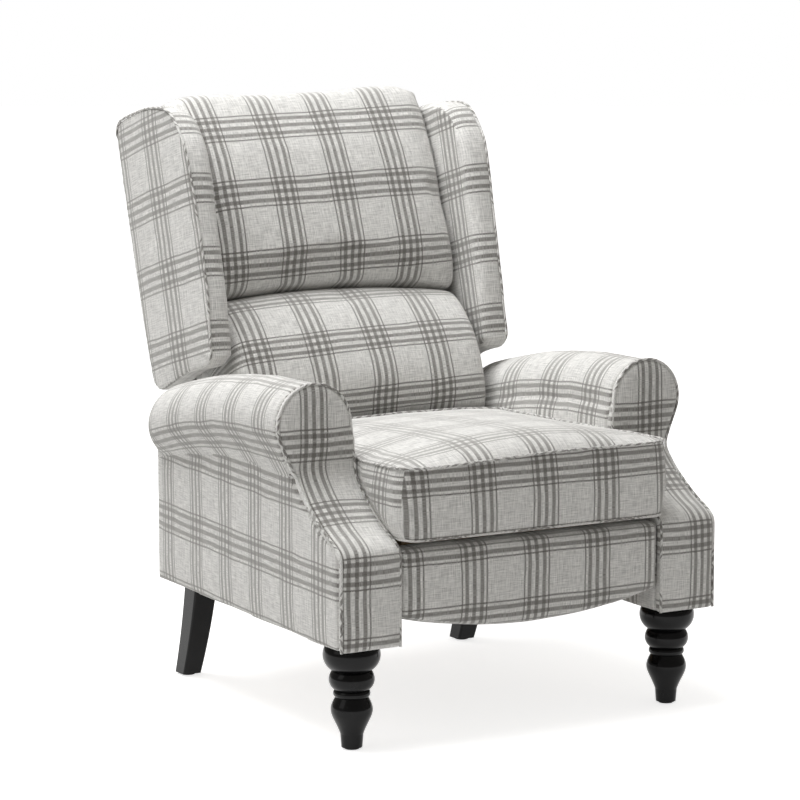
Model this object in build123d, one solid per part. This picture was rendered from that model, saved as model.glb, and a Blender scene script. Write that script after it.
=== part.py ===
"""Wingback push-back recliner: upholstered shell, swing-link seat, ottoman linkage and reclining back.

Millimetres, +Z up, the chair faces -Y. Built with y = 0 at the front-leg centres, then moved by
ROW_SHIFT so that the bounding box is centred. "Left" is the sitter's left, at +X.
"""
import os
from math import cos, sin, radians

from build123d import *

# ---- overall -------------------------------------------------------------------------------------
SEAT_FRONT_Y = -76.0          # front of the seat cushion
BACK_REAR_Y = 845.2           # rearmost point of the outside back
ROW_SHIFT = -(SEAT_FRONT_Y + BACK_REAR_Y) / 2
SLIP = 0.3                    # between soft pieces that slide past one another
FIT = 0.08                    # radial clearance of a running pin
BOLT_FIT = 0.05               # radial clearance of a bolt in its hole

# ---- arms ----------------------------------------------------------------------------------------
ARM_IN = 256.0                # inner face of each arm
ARM_OUT = 367.0               # outer face under the roll
ARM_FRONT_Y = -60.0
ARM_REAR_Y = 592.0
ARM_BASE_Z = 172.0            # underside at the front
ARM_BASE_RISE = 17.0          # how much higher the underside is at the rear
FACING_T = 15.0               # padded facing on the arm front
SCROLL_FOOT_Z = 325.0         # where the upright front starts to sweep back
ROLL_FRONT_Y = 88.0
ROLL_R = 67.0
ROLL_X = ARM_OUT - 36.0
ROLL_TOP_Z = 587.0
ROLL_DROP = 40.0              # fall of the arm top from front to rear
ROLL_RUN = ((230.0, 0.0), (400.0, 17.0), (ARM_REAR_Y, 58.0))    # the roll's axis: y, and its fall
ROLL_END_R = 30.0
SCROLL_TUCK = 8.0
ARM_WALL = 25.0               # padding and card over the frame
ARM_REAR_SKIN = 4.0
ARM_RAIL = 45.0
ARM_WINDOWS = ((105.0, 290.0, 420.0), (335.0, 513.0, 420.0))    # openings in the ply: y0, y1, top

# ---- legs ----------------------------------------------------------------------------------------
FRONT_LEG_X = (ARM_IN + ARM_OUT) / 2 + 3.0
REAR_LEG_X = ARM_IN + 36.0
REAR_LEG_Y = ARM_REAR_Y - 24.0
REAR_LEG_KICK = 57.0          # how far the rear foot stands behind its head
REAR_LEG_HALF = (18.0, 20.5, 22.5)    # half widths at foot, middle and head
GLIDE_T = 3.0
PLATE_T = 4.0                 # leg mounting plate
PLATE_HALF = 21.0
LEG_BOLT_R = 4.0
LEG_BOLT_LEN = 72.0
GLIDE_R = 12.0

# ---- seat ----------------------------------------------------------------------------------------
SEAT_RAIL_X = 221.0
SEAT_RAIL_W = 25.0
SEAT_RAIL_Z = (298.0, 332.0)
SEAT_REAR_Y = 556.0
WIRE_R = 2.0
DECK_T = 6.0
CUSHION_TOP_Z = 476.0
CUSHION_CROWN = 12.0
CUSHION_REAR_Y = 440.0

# ---- mechanism: layers counted inwards from the arm, 3 mm strip ----------------------------------
STRIP = 3.0
LAYER_GAP = 0.6
BASE_PLATE_X = ARM_IN - STRIP
CROSS_RAIL = (388.0, 412.0, 188.0, 248.0)     # y0, y1, z0, z1
REAR_RAIL_T = 25.0
REAR_RAIL_Z = (190.0, 270.0)
SWING_X = 248.0
SEAT_PLATE_X = 243.0
LAYER_A = SEAT_PLATE_X - LAYER_GAP - STRIP       # rear ottoman link, back bracket
LAYER_B = LAYER_A - LAYER_GAP - STRIP            # outer ottoman link
LAYER_C = LAYER_B - LAYER_GAP - STRIP            # front ottoman link, footrest bracket
LAYER_D = LAYER_C - LAYER_GAP - STRIP            # inner ottoman link
PIN_R = 5.0
RIVET_R = 4.0
OPEN_PLAY = 1.7               # play of the two floating rivets
EYE_R = 12.0                  # half width of a link
TUBE_R = 8.0

SWING_LEN = 100.0
SWING_LEAN = 45.0             # links lean back this far at rest
SWING_FRONT = (300.0, 240.0)  # (y, z) of the lower pivots
SWING_REAR = (480.0, 240.0)

FRONT_PIVOT = (54.5, 321.72)
FRONT_LEN = 183.16
FRONT_ANGLE = 214.92          # link angles at rest, from straight forward, upwards positive
REAR_PIVOT = (90.08, 308.84)
REAR_LEN = 183.84
REAR_ANGLE = -145.96
INNER_LEN = 188.44
INNER_ANGLE = 17.02
OUTER_LEN = 209.51            # joint to footrest bracket
OUTER_TAIL = 40.06            # joint to the rear link's rivet
OUTER_ANGLE = 14.98
ELBOW_LEN = 35.51             # ear on the front link that carries the inner link
ELBOW_TURN = -60.0
BRACKET_LEN = 56.29
BRACKET_ANGLE = 164.52

# ---- footrest ------------------------------------------------------------------------------------
FOOT_HALF = ARM_IN - 2.0
FOOT_T = 45.0
FOOT_TOE_GAP = 13.3           # from the board's rear face back to its pivot
FOOT_TOP_Z = SEAT_RAIL_Z[1] - 2.0
FOOT_SIDE_H = 114.0
FOOT_BOW = 32.0               # how far the lower edge bows down
BOARD_T = 12.0
BOARD_INSET = 14.0
FLANGE_IN = 202.0             # inner edge of the bracket's flange
FOOT_BOLT_HEAD = 4.0
FOOT_CLEAR = 4.0              # between those heads and the seat frame

# ---- back, in its own frame: n rearwards across it, t up along it, from the recline hinge ---------
BACK_HINGE = (560.0, 345.0)
BACK_LEAN = 15.0
BACK_FRAME_N = (60.0, 100.0)
BACK_FRAME_T = (20.0, 668.0)
BACK_RAIL = 30.0
BACK_REAR_N = 114.0
BACK_CROWN_N = 4.0
PANEL_TOP_T = 690.0
BACK_SIDE_GAP = 6.0           # between the outside back and the arms, below the wings
CREASE_T = (326.0, 343.0)     # arched seam between lumbar and head cushions, at the sides and middle
LUMBAR_FOOT_T = 96.0
HEAD_TOP_T = 720.0
PILLOW_REAR_N = 57.0
LUMBAR_FRONT = ((-112.0, LUMBAR_FOOT_T), (-140.0, 150.0), (-131.0, 225.0), (-105.0, 285.0),
                (-58.0, CREASE_T[1]))         # front faces in (n, t)
HEAD_FRONT = ((-66.0, CREASE_T[0] - 2), (-79.0, 400.0), (-70.0, 490.0), (-44.0, 629.0),
              (-6.0, HEAD_TOP_T - 4), (26.0, HEAD_TOP_T))

# ---- wings ---------------------------------------------------------------------------------------
WING_IN = 262.0
WING_OUT = 315.0
WING_PLY = (279.0, 297.0)
WING_FOOT_T = 204.0           # underside of the wing, above the arm roll
WING_HEEL_T = 189.0           # its lowest point, behind the roll
WING_FRONT = ((-127.0, WING_FOOT_T + 18), (-139.0, 380.0), (-141.0, 526.0), (-110.0, 646.0),
              (-60.0, 678.0), (12.0, 690.0), (84.0, 690.0))
WING_TOE = (20.0, -140.0, 9.0)    # the outer face draws in 9 between these two places across the back


def box(x0, x1, y0, y1, z0, z1):
    return Pos((x0 + x1) / 2, (y0 + y1) / 2, (z0 + z1) / 2) * Box(abs(x1 - x0), abs(y1 - y0), abs(z1 - z0))


def slab(sketch, x0, x1):
    """A sketch drawn in (y, z), given thickness from x0 to x1."""
    return extrude(Plane.YZ.offset(x0) * sketch, amount=x1 - x0)


def pin(at, radius, x0, x1):
    """A cylinder across the chair at (y, z)."""
    return Pos((x0 + x1) / 2, at[0], at[1]) * Rot(0, 90, 0) * Cylinder(radius, x1 - x0)


def post(x, y, radius, z0, z1):
    return Pos(x, y, (z0 + z1) / 2) * Cylinder(radius, z1 - z0)


def both(solid):
    """The piece and its mirror image across the chair, as one group of solids."""
    return Compound(children=solid.solids() + mirror(solid, about=Plane.YZ).solids())


def other(solid):
    return mirror(solid, about=Plane.YZ)


def reach(origin, length, angle):
    a = radians(angle)
    return (origin[0] - length * cos(a), origin[1] + length * sin(a))


def hull(eyes):
    """The outline that wraps a chain of (y, z, radius) eyes."""
    return make_hull([e for y, z, r in eyes for e in (Pos(y, z) * Circle(r)).edges()])


def strip_link(a, b, x0, radius=EYE_R):
    return slab(hull([(*a, radius), (*b, radius)]), x0, x0 + STRIP)


def closed(*pieces):
    return make_face(Wire(list(pieces)))


def tilt(solid):
    """From the back's own frame, where y is n and z is t, to its place over the hinge."""
    return Pos(0, *BACK_HINGE) * Rot(-BACK_LEAN, 0, 0) * solid


# ---- pivots at rest ------------------------------------------------------------------------------
SWING_FRONT_TOP = (SWING_FRONT[0] + SWING_LEN * sin(radians(SWING_LEAN)),
                   SWING_FRONT[1] + SWING_LEN * cos(radians(SWING_LEAN)))
SWING_REAR_TOP = (SWING_REAR[0] + SWING_LEN * sin(radians(SWING_LEAN)),
                  SWING_REAR[1] + SWING_LEN * cos(radians(SWING_LEAN)))
KNEE = reach(FRONT_PIVOT, FRONT_LEN, FRONT_ANGLE)
ELBOW = reach(KNEE, ELBOW_LEN, FRONT_ANGLE + ELBOW_TURN)
TAIL = reach(KNEE, -OUTER_TAIL, OUTER_ANGLE)
TOE = reach(KNEE, OUTER_LEN, OUTER_ANGLE)
HEEL = reach(TOE, BRACKET_LEN, BRACKET_ANGLE)
REAR_END = reach(REAR_PIVOT, REAR_LEN, REAR_ANGLE)      # within the floating rivet's play of TAIL
INNER_END = reach(ELBOW, INNER_LEN, INNER_ANGLE)        # and of HEEL
FOOT_BACK_Y = TOE[0] - FOOT_TOE_GAP
FOOT_FRONT_Y = FOOT_BACK_Y - FOOT_T
SEAT_RAIL_Y = FOOT_BACK_Y + STRIP + FOOT_BOLT_HEAD + FOOT_CLEAR     # front of the seat frame


# ---- arms ----------------------------------------------------------------------------------------
def arm_base(y):
    return ARM_BASE_Z + ARM_BASE_RISE * (y - ARM_FRONT_Y) / (ARM_REAR_Y - ARM_FRONT_Y)


def scroll(inset=0.0):
    """The arm front from the underside up: upright, swept back in an S, tucked under the roll."""
    y0 = ARM_FRONT_Y + inset
    foot = (y0, SCROLL_FOOT_Z - 0.3 * inset)
    belly = (y0 + 60, foot[1] + 39)
    head = (ROLL_FRONT_Y - 3 + 0.55 * inset, ROLL_TOP_Z - 2 * ROLL_R - 5 - 0.8 * inset)
    tuck = (ROLL_FRONT_Y + inset, ROLL_TOP_Z - 2 * ROLL_R + SCROLL_TUCK)
    return [Line((y0, arm_base(y0)), foot), Spline(foot, belly, head, tangents=[(0.25, 1), (0.35, 1)]),
            Line(head, tuck)], tuck


def arm_outline(inset, top_z):
    """Side view of the arm under its roll."""
    front, tuck = scroll(inset)
    y1 = ARM_REAR_Y - (ARM_REAR_SKIN if inset > FACING_T else 0)
    y0 = ARM_FRONT_Y + inset
    corners = [tuck, (tuck[0], top_z), (y1, top_z - ROLL_DROP), (y1, arm_base(y1)), (y0, arm_base(y0))]
    return closed(*front, *[Line(a, b) for a, b in zip(corners, corners[1:])])


def roll():
    """The scroll roll: level at first, then falling to a rounded rear end."""
    z = ROLL_TOP_Z - ROLL_R
    y0 = ROLL_FRONT_Y + FACING_T
    path = Spline((ROLL_X, y0, z), *[(ROLL_X, y, z - fall) for y, fall in ROLL_RUN],
                  tangents=[(0, 1, 0), (0, 1, -0.22)])
    solid = sweep(Plane(origin=path @ 0, z_dir=path % 0) * Circle(ROLL_R), path=path)
    return fillet(solid.edges().sort_by(Axis.Y)[-1], ROLL_END_R)


def arm_frame_blank():
    return slab(arm_outline(FACING_T + 12, ROLL_TOP_Z - ROLL_R - 25), ARM_IN + ARM_WALL, ARM_OUT - ARM_WALL)


def arm_cover():
    body = slab(arm_outline(FACING_T, ROLL_TOP_Z - ROLL_R), ARM_IN, ARM_OUT)
    inner_top = body.edges().filter_by_position(Axis.X, ARM_IN - 0.1, ARM_IN + 0.1).sort_by(Axis.Z)[-1]
    solid = fillet(inner_top, 20) + roll()
    solid -= arm_frame_blank() + arm_facing()
    for z in BASE_SCREW_Z:
        for y in BASE_SCREW_Y:
            solid -= pin((y, z), SCREW_R + BOLT_FIT, ARM_IN - 1, ARM_IN + SCREW_BITE)
    return solid


def arm_facing():
    """The padded front: a band up the scroll, ending in the disc of the roll."""
    outer, tuck = scroll()
    inner, inner_tuck = scroll(FACING_T)
    y0 = ARM_FRONT_Y
    band = closed(*outer, Line(tuck, inner_tuck), *inner[::-1],
                  Line((y0 + FACING_T, arm_base(y0 + FACING_T)), (y0, arm_base(y0))))
    disc_plane = Plane(origin=(ROLL_X, ROLL_FRONT_Y, ROLL_TOP_Z - ROLL_R), x_dir=(1, 0, 0), z_dir=(0, -1, 0))
    disc = extrude(disc_plane * Circle(ROLL_R), amount=-FACING_T)
    return slab(band, ARM_IN, ARM_OUT) + disc


def arm_frame():
    """Plywood side: posts, rails and a scroll front, three windows between."""
    solid = arm_frame_blank()
    y_front = ARM_FRONT_Y + FACING_T + 12 + ARM_RAIL
    for y0, y1, z1 in ((y_front, 60.0, SCROLL_FOOT_Z - 5), *ARM_WINDOWS):
        solid -= box(0, 500, y0, y1, arm_base(y1) + ARM_RAIL, z1)
    for x, y in ((FRONT_LEG_X, 0.0), (REAR_LEG_X, REAR_LEG_Y)):
        solid -= post(x, y, LEG_BOLT_R + 4 * BOLT_FIT, 0, arm_base(y) + 32)
    # The underside is planed up by the thickness of the mounting plates
    solid -= box(0, 500, ARM_FRONT_Y - 5, ARM_REAR_Y + 5, 0, ARM_BASE_Z + PLATE_T)
    return solid


# ---- legs ----------------------------------------------------------------------------------------
def front_leg():
    """Turned leg: foot, long vase, ring, bulb and squat head."""
    base = GLIDE_T
    head = plate_top(0.0) - PLATE_T
    pieces = [Line((0, base), (17.3, base)), Line((17.3, base), (19, base + 22)),
              Spline((19, base + 22), (34, 70), (27, 86), tangents=[(0.35, 1), (-0.6, 1)]),
              ThreePointArc((27, 86), (30.5, 92), (28, 98)),
              ThreePointArc((28, 98), (37.5, 114), (32, 130)),
              ThreePointArc((32, 130), (47, 152), (43, head)), Line((43, head), (0, head)),
              Line((0, head), (0, base))]
    turned = revolve(Plane.XZ * closed(*pieces), Axis.Z)
    return Pos(FRONT_LEG_X, 0, 0) * turned - post(FRONT_LEG_X, 0, LEG_BOLT_R + BOLT_FIT, head - 40, head + 1)


def rear_leg():
    """Square tapered leg with a slight backward curve."""
    top = arm_base(REAR_LEG_Y)
    sections = []
    for z, half, kick in zip((GLIDE_T, top / 2, top), REAR_LEG_HALF, (1, 0.42, 0)):
        y = REAR_LEG_Y + REAR_LEG_KICK * kick
        sections.append(Plane.XY.offset(z) * Pos(REAR_LEG_X, y) * RectangleRounded(2 * half, 2 * half, 4))
    solid = loft(sections)
    # The head is cut level for its plate
    top = plate_top(REAR_LEG_Y) - PLATE_T
    solid -= box(REAR_LEG_X - 50, REAR_LEG_X + 50, REAR_LEG_Y - 50, REAR_LEG_Y + 50, top, top + 50)
    return solid - post(REAR_LEG_X, REAR_LEG_Y, LEG_BOLT_R + BOLT_FIT, top - 45, top + 1)


# ---- base ----------------------------------------------------------------------------------------
SCREW_R = 3.0
SCREW_BITE = 20.0
BASE_SCREW_Y = (285.0, 362.0, 495.0)
BASE_SCREW_Z = (222.0,)


def base_plate():
    first, last, z = BASE_SCREW_Y[0] - 10, BASE_SCREW_Y[-1] + 10, BASE_SCREW_Z[0]
    plate = slab(hull([(first, z, EYE_R), (last, z, EYE_R), (*SWING_FRONT, 16), (*SWING_REAR, 16)]),
                 BASE_PLATE_X, ARM_IN)
    for at in (SWING_FRONT, SWING_REAR):
        plate -= pin(at, PIN_R + FIT, BASE_PLATE_X - 1, ARM_IN + 1)
    for y in BASE_SCREW_Y:
        plate -= pin((y, BASE_SCREW_Z[0]), SCREW_R + BOLT_FIT, BASE_PLATE_X - 1, ARM_IN + 1)
    return plate


def base_screws():
    screw = None
    for y in BASE_SCREW_Y:
        one = pin((y, BASE_SCREW_Z[0]), SCREW_R, BASE_PLATE_X, ARM_IN + SCREW_BITE)
        one += pin((y, BASE_SCREW_Z[0]), 2 * SCREW_R, BASE_PLATE_X - 1.5, BASE_PLATE_X)
        screw = one if screw is None else screw + one
    return screw


def swing_link(low, high):
    solid = strip_link(low, high, SWING_X, 13)
    solid += pin(low, PIN_R, SWING_X, ARM_IN)
    return solid + pin(high, PIN_R, SEAT_PLATE_X, SWING_X)


def swing_tube(low, high):
    mid = ((low[0] + high[0]) / 2, (low[1] + high[1]) / 2)
    return pin(mid, TUBE_R, -SWING_X, SWING_X) - pin(mid, TUBE_R - 2, -SWING_X, SWING_X)


# ---- seat ----------------------------------------------------------------------------------------
SPACER_Y = (290.0, 425.0, 515.0)
SPACER_Z = 315.0
SPACER_R = 9.0
SEAT_BOLT_R = 4.0


def seat_plate():
    """Steel side plate of the seat, carrying every upper pivot."""
    low = SEAT_RAIL_Z[0] - 2
    bar = slab(hull([(*FRONT_PIVOT, 13), (*REAR_PIVOT, 13), (*SWING_FRONT_TOP, 15), (*SWING_REAR_TOP, 15)]),
               SEAT_PLATE_X, SEAT_PLATE_X + STRIP)
    ear = slab(hull([(*BACK_HINGE, 17), (*SWING_REAR_TOP, 15), (SPACER_Y[-1], low + 14, 12)]),
               SEAT_PLATE_X, SEAT_PLATE_X + STRIP)
    plate = bar + ear
    for at, r in ((FRONT_PIVOT, PIN_R), (REAR_PIVOT, PIN_R), (SWING_FRONT_TOP, PIN_R),
                  (SWING_REAR_TOP, PIN_R), (BACK_HINGE, PIN_R)):
        plate -= pin(at, r + FIT, SEAT_PLATE_X - 1, SEAT_PLATE_X + STRIP + 1)
    for y in SPACER_Y:
        plate -= pin((y, SPACER_Z), SEAT_BOLT_R + BOLT_FIT, SEAT_PLATE_X - 1, SEAT_PLATE_X + STRIP + 1)
    return plate


def seat_frame():
    """Hardwood box: two side rails, front and rear rails, bored for the drive tube and the bolts."""
    z0, z1 = SEAT_RAIL_Z
    solid = box(-SEAT_RAIL_X, SEAT_RAIL_X, SEAT_RAIL_Y, SEAT_REAR_Y, z0, z1)
    solid -= box(-SEAT_RAIL_X + SEAT_RAIL_W, SEAT_RAIL_X - SEAT_RAIL_W, SEAT_RAIL_Y + SEAT_RAIL_W,
                 SEAT_REAR_Y - SEAT_RAIL_W, z0 - 1, z1 + 1)
    solid -= pin(FRONT_PIVOT, TUBE_R + 1, -SEAT_RAIL_X - 1, SEAT_RAIL_X + 1)
    for y in SPACER_Y:
        solid -= pin((y, SPACER_Z), SEAT_BOLT_R + BOLT_FIT, -SEAT_RAIL_X - 1, SEAT_RAIL_X + 1)
    return solid


def seat_spacer():
    tubes = None
    for y in SPACER_Y:
        tube = pin((y, SPACER_Z), SPACER_R, SEAT_RAIL_X, SEAT_PLATE_X)
        tube -= pin((y, SPACER_Z), SEAT_BOLT_R + BOLT_FIT, SEAT_RAIL_X - 1, SEAT_PLATE_X + 1)
        tubes = tube if tubes is None else tubes + tube
    return tubes


def seat_bolts():
    bolts = None
    for y in SPACER_Y:
        inner = SEAT_RAIL_X - SEAT_RAIL_W
        bolt = pin((y, SPACER_Z), SEAT_BOLT_R, inner - 6, SEAT_PLATE_X + STRIP)
        bolt += pin((y, SPACER_Z), 2 * SEAT_BOLT_R, inner - 6, inner)
        bolts = bolt if bolts is None else bolts + bolt
    return bolts


SPRING_X = (-140.0, -47.0, 47.0, 140.0)
SPRING_LOOP_R = 17.0
SPRING_LOOPS = 15


def seat_springs():
    """Zigzag springs from front rail to rear rail, each one unbroken wire."""
    z = SEAT_RAIL_Z[1] + WIRE_R
    pitch = (SEAT_REAR_Y - SEAT_RAIL_Y - SEAT_RAIL_W) / SPRING_LOOPS
    y0 = SEAT_RAIL_Y + SEAT_RAIL_W / 2
    rods = []
    for x in SPRING_X:
        r = pitch / 2
        pieces = []
        for k in range(SPRING_LOOPS):
            side = 1 if k % 2 == 0 else -1
            ya, yb = y0 + k * pitch, y0 + (k + 1) * pitch
            reach_x = x + side * SPRING_LOOP_R
            pieces.append(Line((x - side * SPRING_LOOP_R if k else x, ya, z), (reach_x, ya, z)))
            pieces.append(ThreePointArc((reach_x, ya, z), (reach_x + side * r, (ya + yb) / 2, z),
                                        (reach_x, yb, z)))
        last = 1 if (SPRING_LOOPS - 1) % 2 == 0 else -1
        pieces.append(Line((x + last * SPRING_LOOP_R, y0 + SPRING_LOOPS * pitch, z),
                           (x, y0 + SPRING_LOOPS * pitch, z)))
        path = Wire(pieces)
        ring = Plane(origin=path @ 0, z_dir=path % 0) * RegularPolygon(WIRE_R, 6)
        rods.append(sweep(ring, path=path))
    return Compound(children=[s for r in rods for s in r.solids()])


def seat_deck():
    z0 = SEAT_RAIL_Z[1] + 2 * WIRE_R
    return box(-SEAT_RAIL_X, SEAT_RAIL_X, SEAT_RAIL_Y, SEAT_REAR_Y - 30, z0, z0 + DECK_T)


def seat_cushion():
    """Boxed cushion: crowned top, drawn-in sides, front edge slightly waved over the footrest."""
    z0 = SEAT_RAIL_Z[1] + 2 * WIRE_R + DECK_T
    half = ARM_IN - SLIP
    top = CUSHION_TOP_Z - CUSHION_CROWN
    # side view: the top rises behind a rounded front edge, then falls to the back
    side = closed(Line((CUSHION_REAR_Y, z0), (CUSHION_REAR_Y, top - 6)),
                  Spline((CUSHION_REAR_Y, top - 6), (240, top + CUSHION_CROWN), (20, top + 8),
                         (SEAT_FRONT_Y + 8, top - 2), tangents=[(-1, 0.12), (-1, -0.25)]),
                  ThreePointArc((SEAT_FRONT_Y + 8, top - 2), (SEAT_FRONT_Y + 1, top - 12),
                                (SEAT_FRONT_Y, top - 24)),
                  Line((SEAT_FRONT_Y, top - 24), (SEAT_FRONT_Y, z0 + 10)),
                  Line((SEAT_FRONT_Y, z0 + 10), (SEAT_FRONT_Y + 8, z0)),
                  Line((SEAT_FRONT_Y + 8, z0), (CUSHION_REAR_Y, z0)))
    solid = slab(side, -half, half)
    # front view: crowned across, sides drawn in a little at the seams
    rise = top + CUSHION_CROWN
    front = closed(Line((-half + 4, z0), (half - 4, z0)),
                   ThreePointArc((half - 4, z0), (half, (z0 + top) / 2), (half - 5, top)),
                   ThreePointArc((half - 5, top), (0, rise + 4), (-half + 5, top)),
                   ThreePointArc((-half + 5, top), (-half, (z0 + top) / 2), (-half + 4, z0)))
    plane = Plane(origin=(0, SEAT_FRONT_Y - 5, 0), x_dir=(1, 0, 0), z_dir=(0, -1, 0))
    return solid & extrude(plane * front, amount=-(CUSHION_REAR_Y - SEAT_FRONT_Y + 10))


# ---- ottoman linkage -----------------------------------------------------------------------------
def rear_ottoman_link():
    solid = strip_link(REAR_PIVOT, REAR_END, LAYER_A)
    solid += pin(REAR_PIVOT, PIN_R, LAYER_A, SEAT_PLATE_X + STRIP)
    return solid + pin(REAR_END, RIVET_R, LAYER_B, LAYER_A)


def outer_ottoman_link():
    solid = slab(hull([(*TAIL, EYE_R), (*KNEE, EYE_R), (*TOE, EYE_R)]), LAYER_B, LAYER_B + STRIP)
    solid -= pin(TAIL, RIVET_R + OPEN_PLAY, LAYER_B - 1, LAYER_B + STRIP + 1)
    solid -= pin(KNEE, RIVET_R + FIT, LAYER_B - 1, LAYER_B + STRIP + 1)
    return solid - pin(TOE, RIVET_R + FIT, LAYER_B - 1, LAYER_B + STRIP + 1)


def front_ottoman_link():
    solid = strip_link(FRONT_PIVOT, KNEE, LAYER_C) + strip_link(KNEE, ELBOW, LAYER_C)
    solid += pin(FRONT_PIVOT, PIN_R, LAYER_C, SEAT_PLATE_X + STRIP)
    solid += pin(KNEE, RIVET_R, LAYER_C, LAYER_B + STRIP)
    return solid + pin(ELBOW, RIVET_R, LAYER_D, LAYER_C)


def drive_tube():
    return pin(FRONT_PIVOT, TUBE_R, -LAYER_C, LAYER_C) - pin(FRONT_PIVOT, TUBE_R - 2, -LAYER_C, LAYER_C)


def inner_ottoman_link():
    solid = strip_link(ELBOW, INNER_END, LAYER_D, 10)
    solid -= pin(ELBOW, RIVET_R + FIT, LAYER_D - 1, LAYER_D + STRIP + 1)
    return solid - pin(INNER_END, RIVET_R + OPEN_PLAY, LAYER_D - 1, LAYER_D + STRIP + 1)


# ---- footrest ------------------------------------------------------------------------------------
FOOT_BOLT_Z = (TOE[1] - 23.0, TOE[1] + 34.0)
FOOT_BOLT_X = FLANGE_IN + 14.0
FOOT_BOLT_R = 3.0


def footrest_bracket():
    """Angle behind the board with an arm back to its two pivots."""
    flange_y = FOOT_BACK_Y + STRIP
    low, high = FOOT_BOLT_Z[0] - 12, FOOT_BOLT_Z[1] + 12
    arm = slab(hull([(*TOE, EYE_R), (*HEEL, 10), (flange_y + 4, high - 12, 4), (flange_y + 4, low + 8, 4)]),
               LAYER_C, LAYER_C + STRIP)
    arm -= box(LAYER_C - 1, LAYER_C + STRIP + 1, FOOT_BACK_Y - 100, FOOT_BACK_Y, low - 50, high + 50)
    solid = arm + box(FLANGE_IN, LAYER_C + STRIP, FOOT_BACK_Y, flange_y, low, high)
    solid += pin(TOE, RIVET_R, LAYER_C, LAYER_B + STRIP)
    solid += pin(HEEL, RIVET_R, LAYER_D, LAYER_C)
    for z in FOOT_BOLT_Z:
        solid -= Pos(FOOT_BOLT_X, flange_y, z) * Rot(90, 0, 0) * Cylinder(FOOT_BOLT_R + BOLT_FIT, 20)
    return solid


def footrest_bolts():
    bolts = None
    for z in FOOT_BOLT_Z:
        shank = BOARD_T + STRIP
        y0 = FOOT_BACK_Y - BOARD_T
        bolt = Pos(FOOT_BOLT_X, y0 + shank / 2, z) * Rot(90, 0, 0) * Cylinder(FOOT_BOLT_R, shank)
        head = Cylinder(2 * FOOT_BOLT_R, FOOT_BOLT_HEAD)
        bolt += Pos(FOOT_BOLT_X, y0 + shank + FOOT_BOLT_HEAD / 2, z) * Rot(90, 0, 0) * head
        bolts = bolt if bolts is None else bolts + bolt
    return bolts


def footrest_shape(inset, y0, y1):
    """Front view with a bowed lower edge, given depth from y0 to y1."""
    half, top = FOOT_HALF - inset, FOOT_TOP_Z - inset
    side = FOOT_TOP_Z - FOOT_SIDE_H + inset
    mid = side - FOOT_BOW
    face = closed(Line((-half, side), (-half, top)), Line((-half, top), (half, top)),
                  Line((half, top), (half, side)), ThreePointArc((half, side), (0, mid), (-half, side)))
    plane = Plane(origin=(0, y0, 0), x_dir=(1, 0, 0), z_dir=(0, -1, 0))
    return extrude(plane * face, amount=-(y1 - y0))


def footrest_board():
    board = footrest_shape(BOARD_INSET, FOOT_BACK_Y - BOARD_T, FOOT_BACK_Y)
    for z in FOOT_BOLT_Z:
        hole = Pos(FOOT_BOLT_X, FOOT_BACK_Y, z) * Rot(90, 0, 0) * Cylinder(FOOT_BOLT_R + BOLT_FIT, 60)
        board -= hole + mirror(hole, about=Plane.YZ)
    return board


def footrest_pad():
    """Padded face wrapped round the board, with softened front edges."""
    pad = footrest_shape(0, FOOT_FRONT_Y, FOOT_BACK_Y)
    pad = fillet(pad.edges().filter_by_position(Axis.Y, FOOT_FRONT_Y - 1, FOOT_FRONT_Y + 1), 14)
    return pad - footrest_shape(BOARD_INSET, FOOT_BACK_Y - BOARD_T, FOOT_BACK_Y + 1)


# ---- back ----------------------------------------------------------------------------------------
def back_frame():
    """Hardwood frame of the back: side rails, top, middle and bottom rails."""
    n0, n1 = BACK_FRAME_N
    t0, t1 = BACK_FRAME_T
    solid = box(-LAYER_A, LAYER_A, n0, n1, t0, t1)
    span = LAYER_A - BACK_RAIL
    middle = CREASE_T[0]
    for low, high in ((t0 + BACK_RAIL + 20, middle - 15), (middle + 15, t1 - BACK_RAIL)):
        solid -= box(-span, span, n0 - 1, n1 + 1, low, high)
    for t in BRACKET_BOLT_T:
        solid -= pin((BRACKET_BOLT_N, t), BRACKET_BOLT_R + BOLT_FIT, -LAYER_A - 1, LAYER_A + 1)
    return solid


BRACKET_BOLT_T = (95.0, 160.0)
BRACKET_BOLT_N = 80.0
BRACKET_BOLT_R = 4.0


def back_bracket():
    """Hinge strap from the recline pivot up the side rail."""
    n_mid = BRACKET_BOLT_N
    low, high = (n_mid, BRACKET_BOLT_T[0] - 20, 14), (n_mid, BRACKET_BOLT_T[1], 14)
    arm = slab(hull([(0, 0, 16), low]), LAYER_A, LAYER_A + STRIP)
    arm += slab(hull([low, high]), LAYER_A, LAYER_A + STRIP)
    arm += pin((0, 0), PIN_R, LAYER_A, SEAT_PLATE_X + STRIP)
    for t in BRACKET_BOLT_T:
        arm -= pin((n_mid, t), BRACKET_BOLT_R + BOLT_FIT, LAYER_A - 1, LAYER_A + STRIP + 1)
    return arm


def bracket_bolts():
    bolts = None
    for t in BRACKET_BOLT_T:
        inner = LAYER_A - BACK_RAIL
        bolt = pin((BRACKET_BOLT_N, t), BRACKET_BOLT_R, inner - 6, LAYER_A + STRIP)
        bolt += pin((BRACKET_BOLT_N, t), 2 * BRACKET_BOLT_R, inner - 6, inner)
        bolts = bolt if bolts is None else bolts + bolt
    return bolts


WEB_W = 50.0
WEB_T = 2.0
WEB_COUNT = 6
WEB_INSET = (80.0, 60.0)       # centre lines of the lowest and highest, from the frame's ends


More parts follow.
